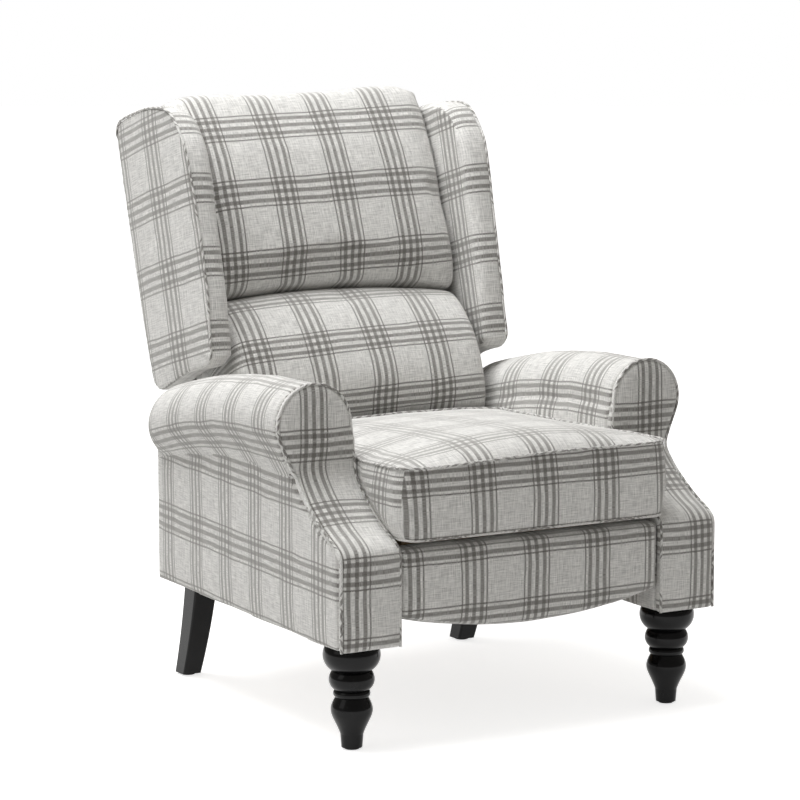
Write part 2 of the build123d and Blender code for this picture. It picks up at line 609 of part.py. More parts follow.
def back_webbing():
    n1 = BACK_FRAME_N[0]
    t0, t1 = BACK_FRAME_T[0] + WEB_INSET[0], BACK_FRAME_T[1] - WEB_INSET[1]
    half = LAYER_A - BACK_RAIL / 2
    return Compound(children=[box(-half, half, n1 - WEB_T, n1, t - WEB_W / 2, t + WEB_W / 2)
                              for t in (t0 + (t1 - t0) * k / (WEB_COUNT - 1) for k in range(WEB_COUNT))])


def back_panel():
    """Outside back: a crowned sheet of padding behind the frame, wrapped round its lower sides."""
    n0, n1 = BACK_FRAME_N[1], BACK_REAR_N
    t0, t1 = BACK_FRAME_T[0], PANEL_TOP_T
    side = closed(Line((n0, t0), (n1 - 2, t0)), Spline((n1 - 2, t0), (n1 + BACK_CROWN_N, (t0 + t1) / 2),
                                                       (n1, t1 - 12), tangents=[(0.02, 1), (-0.02, 1)]),
                  Line((n1, t1 - 12), (n1 - 14, t1)), Line((n1 - 14, t1), (PILLOW_REAR_N, t1)),
                  Line((PILLOW_REAR_N, t1), (PILLOW_REAR_N, BACK_FRAME_T[1])),
                  Line((PILLOW_REAR_N, BACK_FRAME_T[1]), (n0, BACK_FRAME_T[1])),
                  Line((n0, BACK_FRAME_T[1]), (n0, t0)))
    narrow = ARM_IN - BACK_SIDE_GAP
    solid = slab(side, -narrow, narrow)
    upper = box(-WING_IN, WING_IN, 0, 2 * BACK_REAR_N, WING_FOOT_T + 10, PANEL_TOP_T + 1)
    solid += slab(side, -WING_IN, WING_IN) & upper
    inner = LAYER_A + STRIP
    for x0, x1 in ((-narrow, -inner), (inner, narrow)):
        solid += box(x0, x1, PILLOW_REAR_N + 1, n0 + 1, t0 + 20, WING_FOOT_T + 50)
    return solid


def across(half, side_t, mid_t):
    """An edge across the back, straight or arched, as seen from the front."""
    if side_t == mid_t:
        return Line((half, side_t), (-half, side_t))
    return ThreePointArc((half, side_t), (0, mid_t), (-half, side_t))


def pillow(outline, half, draw_in, low, high):
    """A back cushion from its side outline; low and high are its edges across, (side, middle)."""
    waist = (low[0] + high[0]) / 2
    foot = half - draw_in
    face = closed(across(foot, *high), ThreePointArc((-foot, high[0]), (-half, waist), (-foot, low[0])),
                  across(foot, *low), ThreePointArc((foot, low[0]), (half, waist), (foot, high[0])))
    plane = Plane(origin=(0, -400, 0), x_dir=(1, 0, 0), z_dir=(0, -1, 0))
    return slab(outline, -half, half) & extrude(plane * face, amount=-800)


def lumbar_cushion():
    rear, low, high = PILLOW_REAR_N, LUMBAR_FOOT_T, CREASE_T[1]
    outline = closed(Line((rear, low), LUMBAR_FRONT[0]),
                     Spline(*LUMBAR_FRONT, tangents=[(-1, 0.6), (1, 0.5)]),
                     Line(LUMBAR_FRONT[-1], (rear, high)), Line((rear, high), (rear, low)))
    crease = [t - SLIP / 2 for t in CREASE_T]
    return pillow(outline, ARM_IN - SLIP, 3, (low, low), crease)


def head_cushion():
    rear, low, high = PILLOW_REAR_N, CREASE_T[0] - 2, HEAD_TOP_T
    outline = closed(Line((rear, low), HEAD_FRONT[0]),
                     Spline(*HEAD_FRONT, (rear, high - 14), tangents=[(-1, 1), (0.6, -1)]),
                     Line((rear, high - 14), (rear, low)))
    crease = [t + SLIP / 2 for t in CREASE_T]
    return pillow(outline, WING_IN - SLIP, 6, crease, (high - 16, high + 1))


# ---- wings ---------------------------------------------------------------------------------------
def wing_outline(inset=0.0):
    """Side view in the back's frame: swept front edge, rounded crown, straight rear edge."""
    k = inset
    # Each point of the front moves in by the inset: backwards, up at the foot and down at the crown
    shift = ((k, k), (k, 0), (k, -k), (k, -k), (k, -k), (0, -k), (-k, -k))
    front = [(n + dn, t + dt) for (n, t), (dn, dt) in zip(WING_FRONT, shift)]
    start, top = front[0], front[-1]
    corner = (BACK_REAR_N - k, top[1] - 30)
    toe, sole = (start[0] + 25, start[1] - 18), (-40.0, WING_FOOT_T + k)
    heel, hock = (58 - k, WING_HEEL_T + k), (99 - k, WING_HEEL_T + 37 + k)
    return closed(Spline(*front, tangents=[(-0.35, 1), (1, -0.02)]),
                  ThreePointArc(top, (top[0] + 24, top[1] - 6), corner), Line(corner, hock),
                  ThreePointArc(hock, (89 - k, WING_HEEL_T + 10 + k), heel), Line(heel, sole),
                  Line(sole, toe),
                  ThreePointArc(toe, (start[0] + 7, start[1] - 12), start))


def wing_frame():
    """Shaped ply panel on a batten that joins it to the back's side rail."""
    ply = slab(wing_outline(22), *WING_PLY)
    batten = box(LAYER_A, WING_PLY[0], BACK_FRAME_N[0] + 2, BACK_FRAME_N[1] - 2, 262, 640)
    return ply + batten


def wing_cover():
    solid = slab(wing_outline(), WING_IN, WING_OUT)
    solid = fillet(solid.edges().filter_by_position(Axis.X, WING_OUT - 0.5, WING_OUT + 0.5), 7)
    n0, n1, draw = WING_TOE
    front = 2 * n1 - n0
    plan = Polygon((0, front), (WING_OUT - 2 * draw, front), (WING_OUT, n0), (WING_OUT + 5, n0),
                   (WING_OUT + 5, -front), (0, -front), align=None)
    return (solid & extrude(plan, amount=BACK_HINGE[0] + HEAD_TOP_T)) - wing_frame()


# ---- base rails ----------------------------------------------------------------------------------
def base_rails():
    cross = box(-BASE_PLATE_X, BASE_PLATE_X, *CROSS_RAIL)
    face_y = ARM_REAR_Y - ARM_REAR_SKIN
    z0, z1 = REAR_RAIL_Z
    rear = box(-ARM_IN, ARM_IN, face_y - REAR_RAIL_T, face_y, z0, z1)
    skin = box(-ARM_IN, ARM_IN, face_y, ARM_REAR_Y, z0 - 1, z1 + 8)
    return cross, rear, skin


def plate_top(y):
    """The mounting plates lie level under the lowest point of the frame above them."""
    return max(arm_base(y - PLATE_HALF), ARM_BASE_Z + PLATE_T)


def leg_fittings():
    plates, bolts, glides = [], [], []
    for x, y, kick in ((FRONT_LEG_X, 0.0, 0.0), (REAR_LEG_X, REAR_LEG_Y, REAR_LEG_KICK)):
        top = plate_top(y)
        x0, x1 = max(x - PLATE_HALF, ARM_IN + ARM_WALL), min(x + PLATE_HALF, ARM_OUT - ARM_WALL)
        plate = box(x0, x1, y - PLATE_HALF, y + PLATE_HALF, top - PLATE_T, top)
        plates.append(plate - post(x, y, LEG_BOLT_R + BOLT_FIT, 0, top + 1))
        bolts.append(post(x, y, LEG_BOLT_R, top - LEG_BOLT_LEN / 2, top + LEG_BOLT_LEN / 2 - 10))
        glides.append(post(x, y + kick, GLIDE_R, 0, GLIDE_T))
    return [both(sum(group[1:], group[0])) for group in (plates, bolts, glides)]


def nodes():
    out = {}

    def pair(name, solid):
        out[name.format("left")] = solid
        out[name.format("right")] = other(solid)

    pair("{}_arm_frame", arm_frame())
    pair("{}_arm_cover", arm_cover())
    pair("{}_arm_facing", arm_facing())
    pair("front_{}_leg", front_leg())
    pair("rear_{}_leg", rear_leg())
    out["leg_mount_plates"], out["leg_bolts"], out["leg_glides"] = leg_fittings()
    out["base_cross_rail"], out["base_rear_rail"], out["base_rear_panel"] = base_rails()
    pair("{}_base_plate", base_plate())
    out["base_plate_screws"] = both(base_screws())
    pair("{}_front_swing_link", swing_link(SWING_FRONT, SWING_FRONT_TOP))
    pair("{}_rear_swing_link", swing_link(SWING_REAR, SWING_REAR_TOP))
    out["front_swing_tube"] = swing_tube(SWING_FRONT, SWING_FRONT_TOP)
    out["rear_swing_tube"] = swing_tube(SWING_REAR, SWING_REAR_TOP)
    pair("{}_seat_plate", seat_plate())
    out["seat_frame"] = seat_frame()
    out["seat_springs"] = seat_springs()
    out["seat_deck"] = seat_deck()
    out["seat_cushion"] = seat_cushion()
    out["seat_spacers"] = both(seat_spacer())
    out["seat_bolts"] = both(seat_bolts())
    pair("{}_rear_ottoman_link", rear_ottoman_link())
    pair("{}_outer_ottoman_link", outer_ottoman_link())
    pair("{}_front_ottoman_link", front_ottoman_link())
    out["ottoman_drive_tube"] = drive_tube()
    pair("{}_inner_ottoman_link", inner_ottoman_link())
    pair("{}_footrest_bracket", footrest_bracket())
    out["footrest_bolts"] = both(footrest_bolts())
    out["footrest_board"] = footrest_board()
    out["footrest_pad"] = footrest_pad()
    out["back_frame"] = tilt(back_frame())
    out["back_webbing"] = tilt(back_webbing())
    out["back_panel"] = tilt(back_panel())
    out["lumbar_cushion"] = tilt(lumbar_cushion())
    out["head_cushion"] = tilt(head_cushion())
    pair("{}_back_bracket", tilt(back_bracket()))
    out["back_bracket_bolts"] = both(tilt(bracket_bolts()))
    pair("{}_wing_frame", tilt(wing_frame()))
    pair("{}_wing_cover", tilt(wing_cover()))
    return out


os.makedirs("parts", exist_ok=True)
for name, solid in nodes().items():
    export_step(Pos(0, ROW_SHIFT, 0) * solid, f"parts/{name}.step")
    bb = solid.bounding_box()
    print(f"{name:28s} solids {len(solid.solids()):2d}  vol {solid.volume / 1000:9.1f} cm3  "
          f"x {bb.min.X:7.1f} {bb.max.X:7.1f}  y {bb.min.Y:7.1f} {bb.max.Y:7.1f}  "
          f"z {bb.min.Z:7.1f} {bb.max.Z:7.1f}")
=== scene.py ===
"""Looks of the wingback recliner: padded covers, cushions, welts and materials around the CAD frame.

Lengths in the shape code are millimetres with y = 0 at the front legs, as in the CAD source; put()
turns them into metres in the shared frame.
"""

import math

import bmesh
import bpy
import numpy as np
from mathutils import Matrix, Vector, noise


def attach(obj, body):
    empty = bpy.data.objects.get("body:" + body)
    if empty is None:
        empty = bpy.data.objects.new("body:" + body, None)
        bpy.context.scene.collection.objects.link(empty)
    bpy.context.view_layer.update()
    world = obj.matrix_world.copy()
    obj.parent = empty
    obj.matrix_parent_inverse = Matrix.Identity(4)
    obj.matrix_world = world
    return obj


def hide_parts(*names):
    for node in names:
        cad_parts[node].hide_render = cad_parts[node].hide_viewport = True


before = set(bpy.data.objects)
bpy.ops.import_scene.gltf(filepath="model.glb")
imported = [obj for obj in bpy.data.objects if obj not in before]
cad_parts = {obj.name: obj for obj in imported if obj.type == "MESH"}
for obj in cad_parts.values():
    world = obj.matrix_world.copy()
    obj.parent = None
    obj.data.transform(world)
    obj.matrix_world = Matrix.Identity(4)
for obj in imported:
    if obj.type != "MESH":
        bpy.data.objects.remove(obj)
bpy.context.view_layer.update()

SIDES = {"left": 1, "right": -1}
FRAME_Y = -384.6                      # where the front legs' y = 0 lies in the shared frame
HINGE_Y, HINGE_Z, LEAN = 560.0, 345.0, math.radians(15)
ARM_IN, ARM_OUT, ARM_FRONT_Y, ARM_REAR_Y = 256.0, 367.0, -60.0, 592.0
BASE_Z, BASE_RISE = 172.0, 17.0       # the arm's underside: height in front, rise to the rear
ROLL_X, ROLL_Z, ROLL_R = 331.0, 520.0, 67.0
WING_IN, WING_OUT, WING_FOOT = 262.0, 315.0, 204.0
HEAD_TOP, CREASE = 720.0, 343.0
REPEAT = 121.0                        # from one stripe group of the plaid to the next
PRESSURE, FRAMES = 1.6, 20            # cloth simulation


def put(p):
    """Chair millimetres to scene metres."""
    p = np.asarray(p, float)
    return np.stack([p[..., 0], p[..., 1] + FRAME_Y, p[..., 2]], -1) / 1000.0


def chair_mm(flat):
    """A flat run of scene metres to rows of chair millimetres."""
    co = flat.reshape(-1, 3) * 1000
    co[:, 1] -= FRAME_Y
    return co


def back(x, n, t):
    """From the back's own frame, n to its rear and t up along it, to chair coordinates."""
    c, s = math.cos(LEAN), math.sin(LEAN)
    x, n, t = np.broadcast_arrays(np.asarray(x, float), n, t)
    return np.stack([x, HINGE_Y + n * c + t * s, HINGE_Z - n * s + t * c], -1)


def to_back(p):
    """From chair coordinates to (x, n, t) in the back's own frame."""
    c, s = math.cos(LEAN), math.sin(LEAN)
    y, z = p[..., 1] - HINGE_Y, p[..., 2] - HINGE_Z
    return np.stack([p[..., 0], y * c - z * s, y * s + z * c], -1)


def places(x, y, z):
    """Rows of (x, y, z), where each may be a list or one number."""
    return np.stack(np.broadcast_arrays(x, y, z), -1).astype(float)


def plaid(value, centre, pitch=REPEAT):
    """Cloth coordinate with a stripe group on centre and the next one a pitch away."""
    return (value - centre) * (REPEAT / pitch) + REPEAT / 2


def ease(value):
    """Smooth 0 to 1 step."""
    value = np.clip(value, 0.0, 1.0)
    return value * value * (3 - 2 * value)


def smooth_curve(points, per=8, closed=False):
    """Catmull-Rom curve through the points."""
    pts = [np.asarray(p, float) for p in points]
    n = len(pts)
    out = []
    for i in range(n if closed else n - 1):
        if closed:
            a, b, c, d = (pts[(i + k) % n] for k in (-1, 0, 1, 2))
        else:
            b, c = pts[i], pts[i + 1]
            a = pts[i - 1] if i else 2 * b - c
            d = pts[i + 2] if i + 2 < n else 2 * c - b
        for k in range(per):
            t = k / per
            out.append(0.5 * (2 * b + (c - a) * t + (2 * a - 5 * b + 4 * c - d) * t * t
                              + (3 * b - a - 3 * c + d) * t ** 3))
    if not closed:
        out.append(pts[-1])
    return np.array(out)


def resample(path, step, closed=False):
    """Points about a step apart along the path."""
    path = np.asarray(path, float)
    if closed:
        path = np.vstack([path, path[:1]])
    seg = np.linalg.norm(np.diff(path, axis=0), axis=1)
    s = np.concatenate([[0], np.cumsum(seg)])
    count = max(2, int(round(s[-1] / step)))
    at = np.linspace(0, s[-1], count + 1)
    if closed:
        at = at[:-1]
    return np.stack([np.interp(at, s, path[:, k]) for k in range(path.shape[1])], -1)


def unit(rows):
    """The rows scaled to a length of 1."""
    return rows / np.linalg.norm(rows, axis=1)[:, None]


def rounded(path, sign):
    """A welt's path without sharp corners, on the left or, where sign is -1, the right."""
    path = smooth_curve(resample(path, 14), 4)
    path[:, 0] *= sign
    return path


def along(flat, line):
    """Distance along the line of the place nearest to each of the flat points."""
    run = np.concatenate([[0], np.cumsum(np.linalg.norm(np.diff(line, axis=0), axis=1))])
    tang = unit(np.gradient(line, axis=0))
    near = np.array([np.argmin((line[:, 0] - a) ** 2 + (line[:, 1] - b) ** 2) for a, b in flat])
    return run[near] + ((flat - line[near]) * tang[near]).sum(1)


# ---- meshes ----
def add_object(name, data):
    o = bpy.data.objects.new(name, data)
    bpy.context.scene.collection.objects.link(o)
    return o


def plain_object(name, verts, faces):
    me = bpy.data.meshes.new(name)
    me.from_pydata([tuple(v) for v in put(verts)], [], [tuple(f) for f in faces])
    return add_object(name, me)


def mesh_object(name, verts, faces):
    """An object with all its faces turned outwards."""
    o = plain_object(name, verts, faces)
    me = o.data
    me.validate()
    bm = bmesh.new()
    bm.from_mesh(me)
    bmesh.ops.recalc_face_normals(bm, faces=bm.faces)
    bm.to_mesh(me)
    bm.free()
    return o


def stack(rings):
    """A closed skin through rings of equally many points, with flat ends."""
    count = len(rings[0])
    verts = np.concatenate(rings)
    faces = [[*range(count)][::-1], [(len(rings) - 1) * count + k for k in range(count)]]
    for r in range(len(rings) - 1):
        for k in range(count):
            a, b = r * count + k, r * count + (k + 1) % count
            faces.append([a, b, b + count, a + count])
    return verts, faces


def merge(*parts):
    """Several (vertices, faces) pairs as one."""
    verts, faces, base = [], [], 0
    for v, f in parts:
        verts.append(v)
        faces += [[i + base for i in face] for face in f]
        base += len(v)
    return np.concatenate(verts), faces


def applied(o):
    """Applies the object's modifiers to its mesh."""
    bpy.context.view_layer.update()
    deps = bpy.context.evaluated_depsgraph_get()
    me = bpy.data.meshes.new_from_object(o.evaluated_get(deps), depsgraph=deps)
    old = o.data
    o.modifiers.clear()
    o.data = me
    me.name = old.name
    bpy.data.meshes.remove(old)
    return o


def soften(o, rounds):
    m = o.modifiers.new("soft", "SMOOTH")
    m.factor, m.iterations = 0.5, rounds
    return applied(o)


def remesh(o, voxel, rounds):
    """One skin of small quads, voxel mm across, its edges rounded off; returns its points()."""
    m = o.modifiers.new("skin", "REMESH")
    m.mode, m.voxel_size, m.adaptivity = "VOXEL", voxel / 1000, 0
    return points(soften(o, rounds))


def bevel(o, width):
    m = o.modifiers.new("edge", "BEVEL")
    m.width, m.segments, m.limit_method = width / 1000, 2, "ANGLE"
    return applied(o)


def subdivide(o):
    m = o.modifiers.new("fine", "SUBSURF")
    m.levels = m.render_levels = 1
    m.uv_smooth = "PRESERVE_BOUNDARIES"
    return applied(o)


def points(o):
    """Vertex positions in chair millimetres, and their normals."""
    n = len(o.data.vertices)
    co, no = np.empty(n * 3), np.empty(n * 3)
    o.data.vertices.foreach_get("co", co)
    o.data.vertices.foreach_get("normal", no)
    return chair_mm(co), no.reshape(-1, 3)


def move(o, co):
    o.data.vertices.foreach_set("co", put(co).ravel())
    o.data.update()


def settle(o, co, sign):
    """Moves the points of a left piece, mirrored to the right where sign is -1."""
    co[:, 0] *= sign
    if sign < 0:
        o.data.flip_normals()
    move(o, co)


def ripple(co, size, seed):
    """Smooth noise in -1..1 for each point, with features about size mm across."""
    off = Vector((seed * 17.3, seed * 5.1, seed * 9.7))
    return np.array([noise.noise(Vector(p) / size + off) for p in co])


def filled(co, no, rise, *waves):
    """Points moved outwards by rise and by waves, each a (height, size, seed)."""
    for height, size, seed in waves:
        rise = rise + height * ripple(co, size, seed)
    return co + no * rise[:, None]


def swell(gap, width, height):
    """Rise of a padded face: none at its edge, full from width mm inside it."""
    return height * np.sin(np.clip(gap / width, 0, 1) * math.pi / 2)


def fabric(o, where):
    """Stores the cloth coordinates (u, v) that where(corners, face centres, face normals) gives."""
    me = o.data
    count = len(me.polygons)
    centre, normal, total = np.empty(count * 3), np.empty(count * 3), np.empty(count, int)
    me.polygons.foreach_get("center", centre)
    me.polygons.foreach_get("normal", normal)
    me.polygons.foreach_get("loop_total", total)
    corner = np.empty(len(me.loops), int)
    me.loops.foreach_get("vertex_index", corner)
    co, _ = points(o)
    face = np.repeat(np.arange(count), total)
    u, v = where(co[corner], chair_mm(centre)[face], normal.reshape(-1, 3)[face])
    store(me, u, v)
    me.update()


def store(me, u, v):
    """Keeps cloth coordinates in mm, one pair for each face corner."""
    layer = me.attributes.new("cloth", "FLOAT_VECTOR", "CORNER")
    data = np.stack([u, v, np.zeros_like(u)], -1) / 1000
    layer.data.foreach_set("vector", data.ravel())


def finish(o, body, nodes=(), slot="plaid"):
    """Dresses a piece in its material, hangs it on the body it rides and hides the parts it replaces."""
    o.data.materials.clear()
    o.data.materials.append(MAT[slot])
    o.data.polygons.foreach_set("use_smooth", np.ones(len(o.data.polygons), bool))
    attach(o, body)
    if nodes:
        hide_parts(*nodes)


# ---- welts ----
WELT_STEP, WELT_SIDES = 4.0, 8
STRIP = 2.4                           # cloth from one side of a welt to the next
SLANT = 0.707                         # the strip is cut at 45 degrees to the weave


def welt_rings(path, tangent, radius):
    """Rings round the path that don't twist against each other."""
    side = np.cross(tangent[0], (0.3, 0.5, 0.8))
    a = np.arange(WELT_SIDES) * 2 * math.pi / WELT_SIDES
    rings = []
    for at, ahead in zip(path, tangent):
        side = side - ahead * (side @ ahead)
        side /= np.linalg.norm(side)
        up = np.cross(ahead, side)
        rings.append(at + radius * (np.cos(a)[:, None] * side + np.sin(a)[:, None] * up))
    return np.concatenate(rings)


def welt_faces(count, closed):
    """Faces of the welt, and each corner's place on its strip in steps and sides."""
    sides = WELT_SIDES
    faces, strip = [], []
    for i in range(count if closed else count - 1):
        here, ahead = i * sides, (i + 1) % count * sides
        for k in range(sides):
            following = (k + 1) % sides
            faces.append([here + k, here + following, ahead + following, ahead + k])
            strip += [(i, k), (i, k + 1), (i + 1, k + 1), (i + 1, k)]
    if not closed:
        faces += [[*range(sides)][::-1], [(count - 1) * sides + k for k in range(sides)]]
        strip += [(0, 0)] * sides + [(count, 0)] * sides
    return faces, strip


def welt(name, path, radius, body, turn, closed=False):
    """A sewn welt along a path; its strip is cut on the bias, so the plaid crosses it slantwise."""
    path = resample(path, WELT_STEP, closed)
    tangent = np.roll(path, -1, 0) - np.roll(path, 1, 0)
    if not closed:
        tangent[0], tangent[-1] = path[1] - path[0], path[-1] - path[-2]
    faces, strip = welt_faces(len(path), closed)
    o = plain_object(name, welt_rings(path, unit(tangent), radius), faces)
    run, across = (np.array(strip, float) * (WELT_STEP, STRIP)).T
    store(o.data, turn + (run + across) * SLANT, turn * 0.6 + (run - across) * SLANT)
    finish(o, body)


# ---- materials ----
class Nodes:
    """Short helper to wire up the nodes of a material or a world."""

    def __init__(self, owner, shader):
        owner.use_nodes = True
        self.owner = owner
        self.tree = owner.node_tree
        self.shader = self.tree.nodes[shader]

    def add(self, kind, **props):
        node = self.tree.nodes.new(kind)
        for k, v in props.items():
            setattr(node, k, v)
        return node

    def link(self, a, b):
        self.tree.links.new(a, b)

    def feed(self, value, socket):
        """Gives a socket a number, a colour or another node's output."""
        if isinstance(value, (int, float)):
            socket.default_value = value
        elif isinstance(value, tuple):
            socket.default_value = (*value, 1)
        else:
            self.link(value, socket)

    def fill(self, node, **inputs):
        """Feeds a node's inputs by name, with _ for a space."""
        for name, value in inputs.items():
            self.feed(value, node.inputs[name.replace("_", " ")])
        return node

    def axes(self, vector):
        return self.fill(self.add("ShaderNodeSeparateXYZ"), Vector=vector).outputs

    def math(self, op, a, b=None, c=None, clamp=False):
        node = self.add("ShaderNodeMath", operation=op, use_clamp=clamp)
        for value, socket in zip((a, b, c), node.inputs):
            if value is not None:
                self.feed(value, socket)
        return node.outputs[0]

    def times(self, a, b):
        return self.math("MULTIPLY", a, b)

    def wave(self, value, rate):
        return self.math("SINE", self.times(value, rate))

    def place(self):
        return self.add("ShaderNodeTexCoord").outputs["Object"]

    def noise(self, vector, scale, detail=2.0, rough=0.5, stretch=None):
        if stretch:
            m = self.add("ShaderNodeMapping")
            m.inputs["Scale"].default_value = stretch
            self.link(vector, m.inputs["Vector"])
            vector = m.outputs[0]
        node = self.add("ShaderNodeTexNoise")
        self.fill(node, Scale=scale, Detail=detail, Roughness=rough, Vector=vector)
        return node.outputs["Fac"]

    def ramp(self, fac, stops):
        """Grey or coloured steps, each a (position, value)."""
        r = self.add("ShaderNodeValToRGB")
        elements = r.color_ramp.elements
        while len(elements) < len(stops):
            elements.new(0.5)
        for element, (position, value) in zip(elements, stops):
            element.position = position
            element.color = (*value, 1) if isinstance(value, tuple) else (value, value, value, 1)
        self.link(fac, r.inputs[0])
        return r.outputs[0]

    def mix(self, fac, a, b):
        node = self.add("ShaderNodeMix", data_type="RGBA")
        for value, at in ((fac, 0), (a, 6), (b, 7)):
            self.feed(value, node.inputs[at])
        return node.outputs[2]

    def spread(self, value, low, high, start=0.0, end=1.0):
        """Maps a value's start..end to low..high."""
        node = self.add("ShaderNodeMapRange")
        self.fill(node, From_Min=start, From_Max=end, To_Min=low, To_Max=high, Value=value)
        return node.outputs[0]

    def bump(self, height, strength, distance):
        node = self.add("ShaderNodeBump")
        return self.fill(node, Strength=strength, Distance=distance, Height=height).outputs[0]

    def out(self, **sockets):
        """Sets the shader's sockets and returns the material or world."""
        self.fill(self.shader, **sockets)
        return self.owner


def material(name):
    return Nodes(bpy.data.materials.new(name), "Principled BSDF")


THIN, WIDE = (2.6, 1.0), (7.0, 0.86)  # stripes: width, darkness
STRIPES = ((-24.0, THIN), (-14.5, WIDE), (0.0, WIDE), (14.5, WIDE), (24.0, THIN))
STRIPE_EDGE = 0.8                     # a stripe fades over this, in and out from its edge
YARN = 0.0016                         # metres from yarn to yarn
LINEN, TAUPE = (0.8, 0.795, 0.775), (0.125, 0.115, 0.104)


def stripe_stops():
    """One group of the plaid: thin line, three bands, thin line, centred on the repeat."""
    stops = [(0.0, 0.0)]
    for place, (width, dark) in STRIPES:
        c, h, edge = 0.5 + place / REPEAT, width / 2 / REPEAT, STRIPE_EDGE / REPEAT
        stops += [(c - h - edge, 0.0), (c - h + edge, dark), (c + h - edge, dark), (c + h + edge, 0.0)]
    return stops


def scaled(colour, factor):
    return tuple(min(1, c * factor) for c in colour)


def stripe_groups(m, cloth, u, v, warp, weft):
    """Darkness of the stripes across u and across v, with slightly wandering, uneven edges."""
    drift = m.times(m.math("SUBTRACT", m.noise(cloth, 9.0), 0.5), 0.006)
    groups = []
    for axis, yarn in ((u, weft), (v, warp)):
        jitter = m.times(m.math("SUBTRACT", yarn, 0.5), YARN)
        at = m.math("ADD", m.math("ADD", axis, drift), jitter)
        groups.append(m.ramp(m.math("FRACT", m.math("DIVIDE", at, REPEAT / 1000)), stripe_stops()))
    return groups


def plaid_material(name):
    """Off-white linen weave with a taupe plaid, drawn in the cloth's own coordinates."""
    m = material(name)
    cloth = m.add("ShaderNodeAttribute", attribute_type="GEOMETRY", attribute_name="cloth").outputs["Vector"]
    u, v, _ = m.axes(cloth)
    warp = m.noise(cloth, 1.0, 2.0, 0.6, stretch=(560, 40, 1))
    weft = m.noise(cloth, 1.0, 2.0, 0.6, stretch=(40, 560, 1))
    group_u, group_v = stripe_groups(m, cloth, u, v, warp, weft)
    # A dyed yarn shows more where it lies on top of the weave
    pick = 2 * math.pi / YARN
    over = m.times(m.wave(u, pick), m.wave(v, pick))
    clear = []
    for group, lift, yarn in ((group_u, 0.12, weft), (group_v, -0.12, warp)):
        top = m.math("MULTIPLY_ADD", over, lift, 0.8)
        dye = m.times(top, m.math("MULTIPLY_ADD", yarn, 1.7, 0.17))
        clear.append(m.math("SUBTRACT", 1.0, m.times(group, dye)))
    light = m.times(*clear)
    # Seen at a flat angle, the dyed stripes are painted paler: painted sheen, where the pale fibres also
    # cover part of the dyed yarn
    facing = m.add("ShaderNodeLayerWeight").outputs["Facing"]
    painted_sheen_fade = m.math("MULTIPLY_ADD", m.math("POWER", facing, 1.6), -0.72, 1.0)
    shade = m.times(m.math("SUBTRACT", 1.0, light, clamp=True), painted_sheen_fade)
    slub = m.times(m.math("ADD", warp, weft), 0.5)
    grain = m.ramp(slub, [(0.37, 0.0), (0.5, 0.52), (0.63, 1.0)])
    ground = m.mix(grain, scaled(LINEN, 0.71), scaled(LINEN, 1.2))
    specks = m.noise(cloth, 1.0, 1.0, 0.5, stretch=(160, 620, 1))
    fleck = m.ramp(specks, [(0.0, 0.0), (0.72, 0.0), (0.78, 1.0)])
    ground = m.mix(m.times(fleck, 0.28), ground, (0.42, 0.36, 0.3))
    height = m.math("ADD", m.times(over, 0.5), m.times(slub, 2.2))
    return m.out(Base_Color=m.mix(shade, ground, TAUPE), Normal=m.bump(height, 0.55, 0.0007),
                 Roughness=0.92, Sheen_Weight=0.12, Sheen_Roughness=0.5, Specular_IOR_Level=0.25)


def wood_material(name, pale, brown):
    """Bare hardwood, its grain along x."""
    m = material(name)
    co = m.place()
    grain = m.noise(co, 1.0, 6.0, 0.62, stretch=(6, 60, 60))
    fine = m.noise(co, 1.0, 3.0, 0.5, stretch=(36, 360, 360))
    both = m.math("MULTIPLY_ADD", fine, 0.35, m.times(grain, 0.65))
    tone = m.ramp(both, [(0.35, pale), (0.62, brown)])
    return m.out(Base_Color=tone, Roughness=m.math("MULTIPLY_ADD", fine, 0.2, 0.5),
                 Normal=m.bump(fine, 0.3, 0.0005))


def lacquer_material(name):
    """Black lacquer, rubbed a little duller in places."""
    m = material(name)
    co = m.place()
    grain = m.noise(co, 1.0, 4.0, 0.55, stretch=(90, 90, 7))
    rub = m.ramp(m.noise(co, 38.0, 4.0), [(0.4, 0.0), (0.75, 1.0)])
    colour = m.mix(rub, (0.003, 0.003, 0.0033), (0.006, 0.006, 0.0066))
    return m.out(Base_Color=colour, Roughness=m.math("MULTIPLY_ADD", rub, 0.1, 0.16),
                 Normal=m.bump(grain, 0.1, 0.0004), Coat_Weight=0.14, Coat_Roughness=0.06,
                 Specular_IOR_Level=0.12)


def metal_material(name, colour, metallic, rough, spangle):
    """Metal or hard plastic with fine scuffs."""
    m = material(name)
    co = m.place()
    cells = m.noise(co, spangle, 3.0, 0.6)
    scuff = m.noise(co, 1.0, 3.0, 0.6, stretch=(40, 900, 900))
    tone = m.mix(cells, scaled(colour, 0.8), scaled(colour, 1.2))
    return m.out(Base_Color=tone, Metallic=metallic, Roughness=m.math("MULTIPLY_ADD", scuff, 0.3, rough),
                 Normal=m.bump(scuff, 0.1, 0.0002))


def plain_cloth(name, colour, pick_mm, contrast=0.25):
    """Felt, webbing or dust cloth: a plain weave from object coordinates."""
    m = material(name)
    co = m.place()
    x, y, z = m.axes(co)
    pick = 2 * math.pi / (pick_mm / 1000)
    weave = m.times(m.wave(x, pick), m.wave(m.math("ADD", y, z), pick))
    fuzz = m.noise(co, 260.0, 3.0, 0.6)
    fac = m.math("ADD", m.times(weave, contrast), fuzz, clamp=True)
    tone = m.mix(fac, scaled(colour, 0.7), scaled(colour, 1.15))
    return m.out(Base_Color=tone, Roughness=0.95, Normal=m.bump(m.math("ADD", weave, fuzz), 0.4, 0.0006))


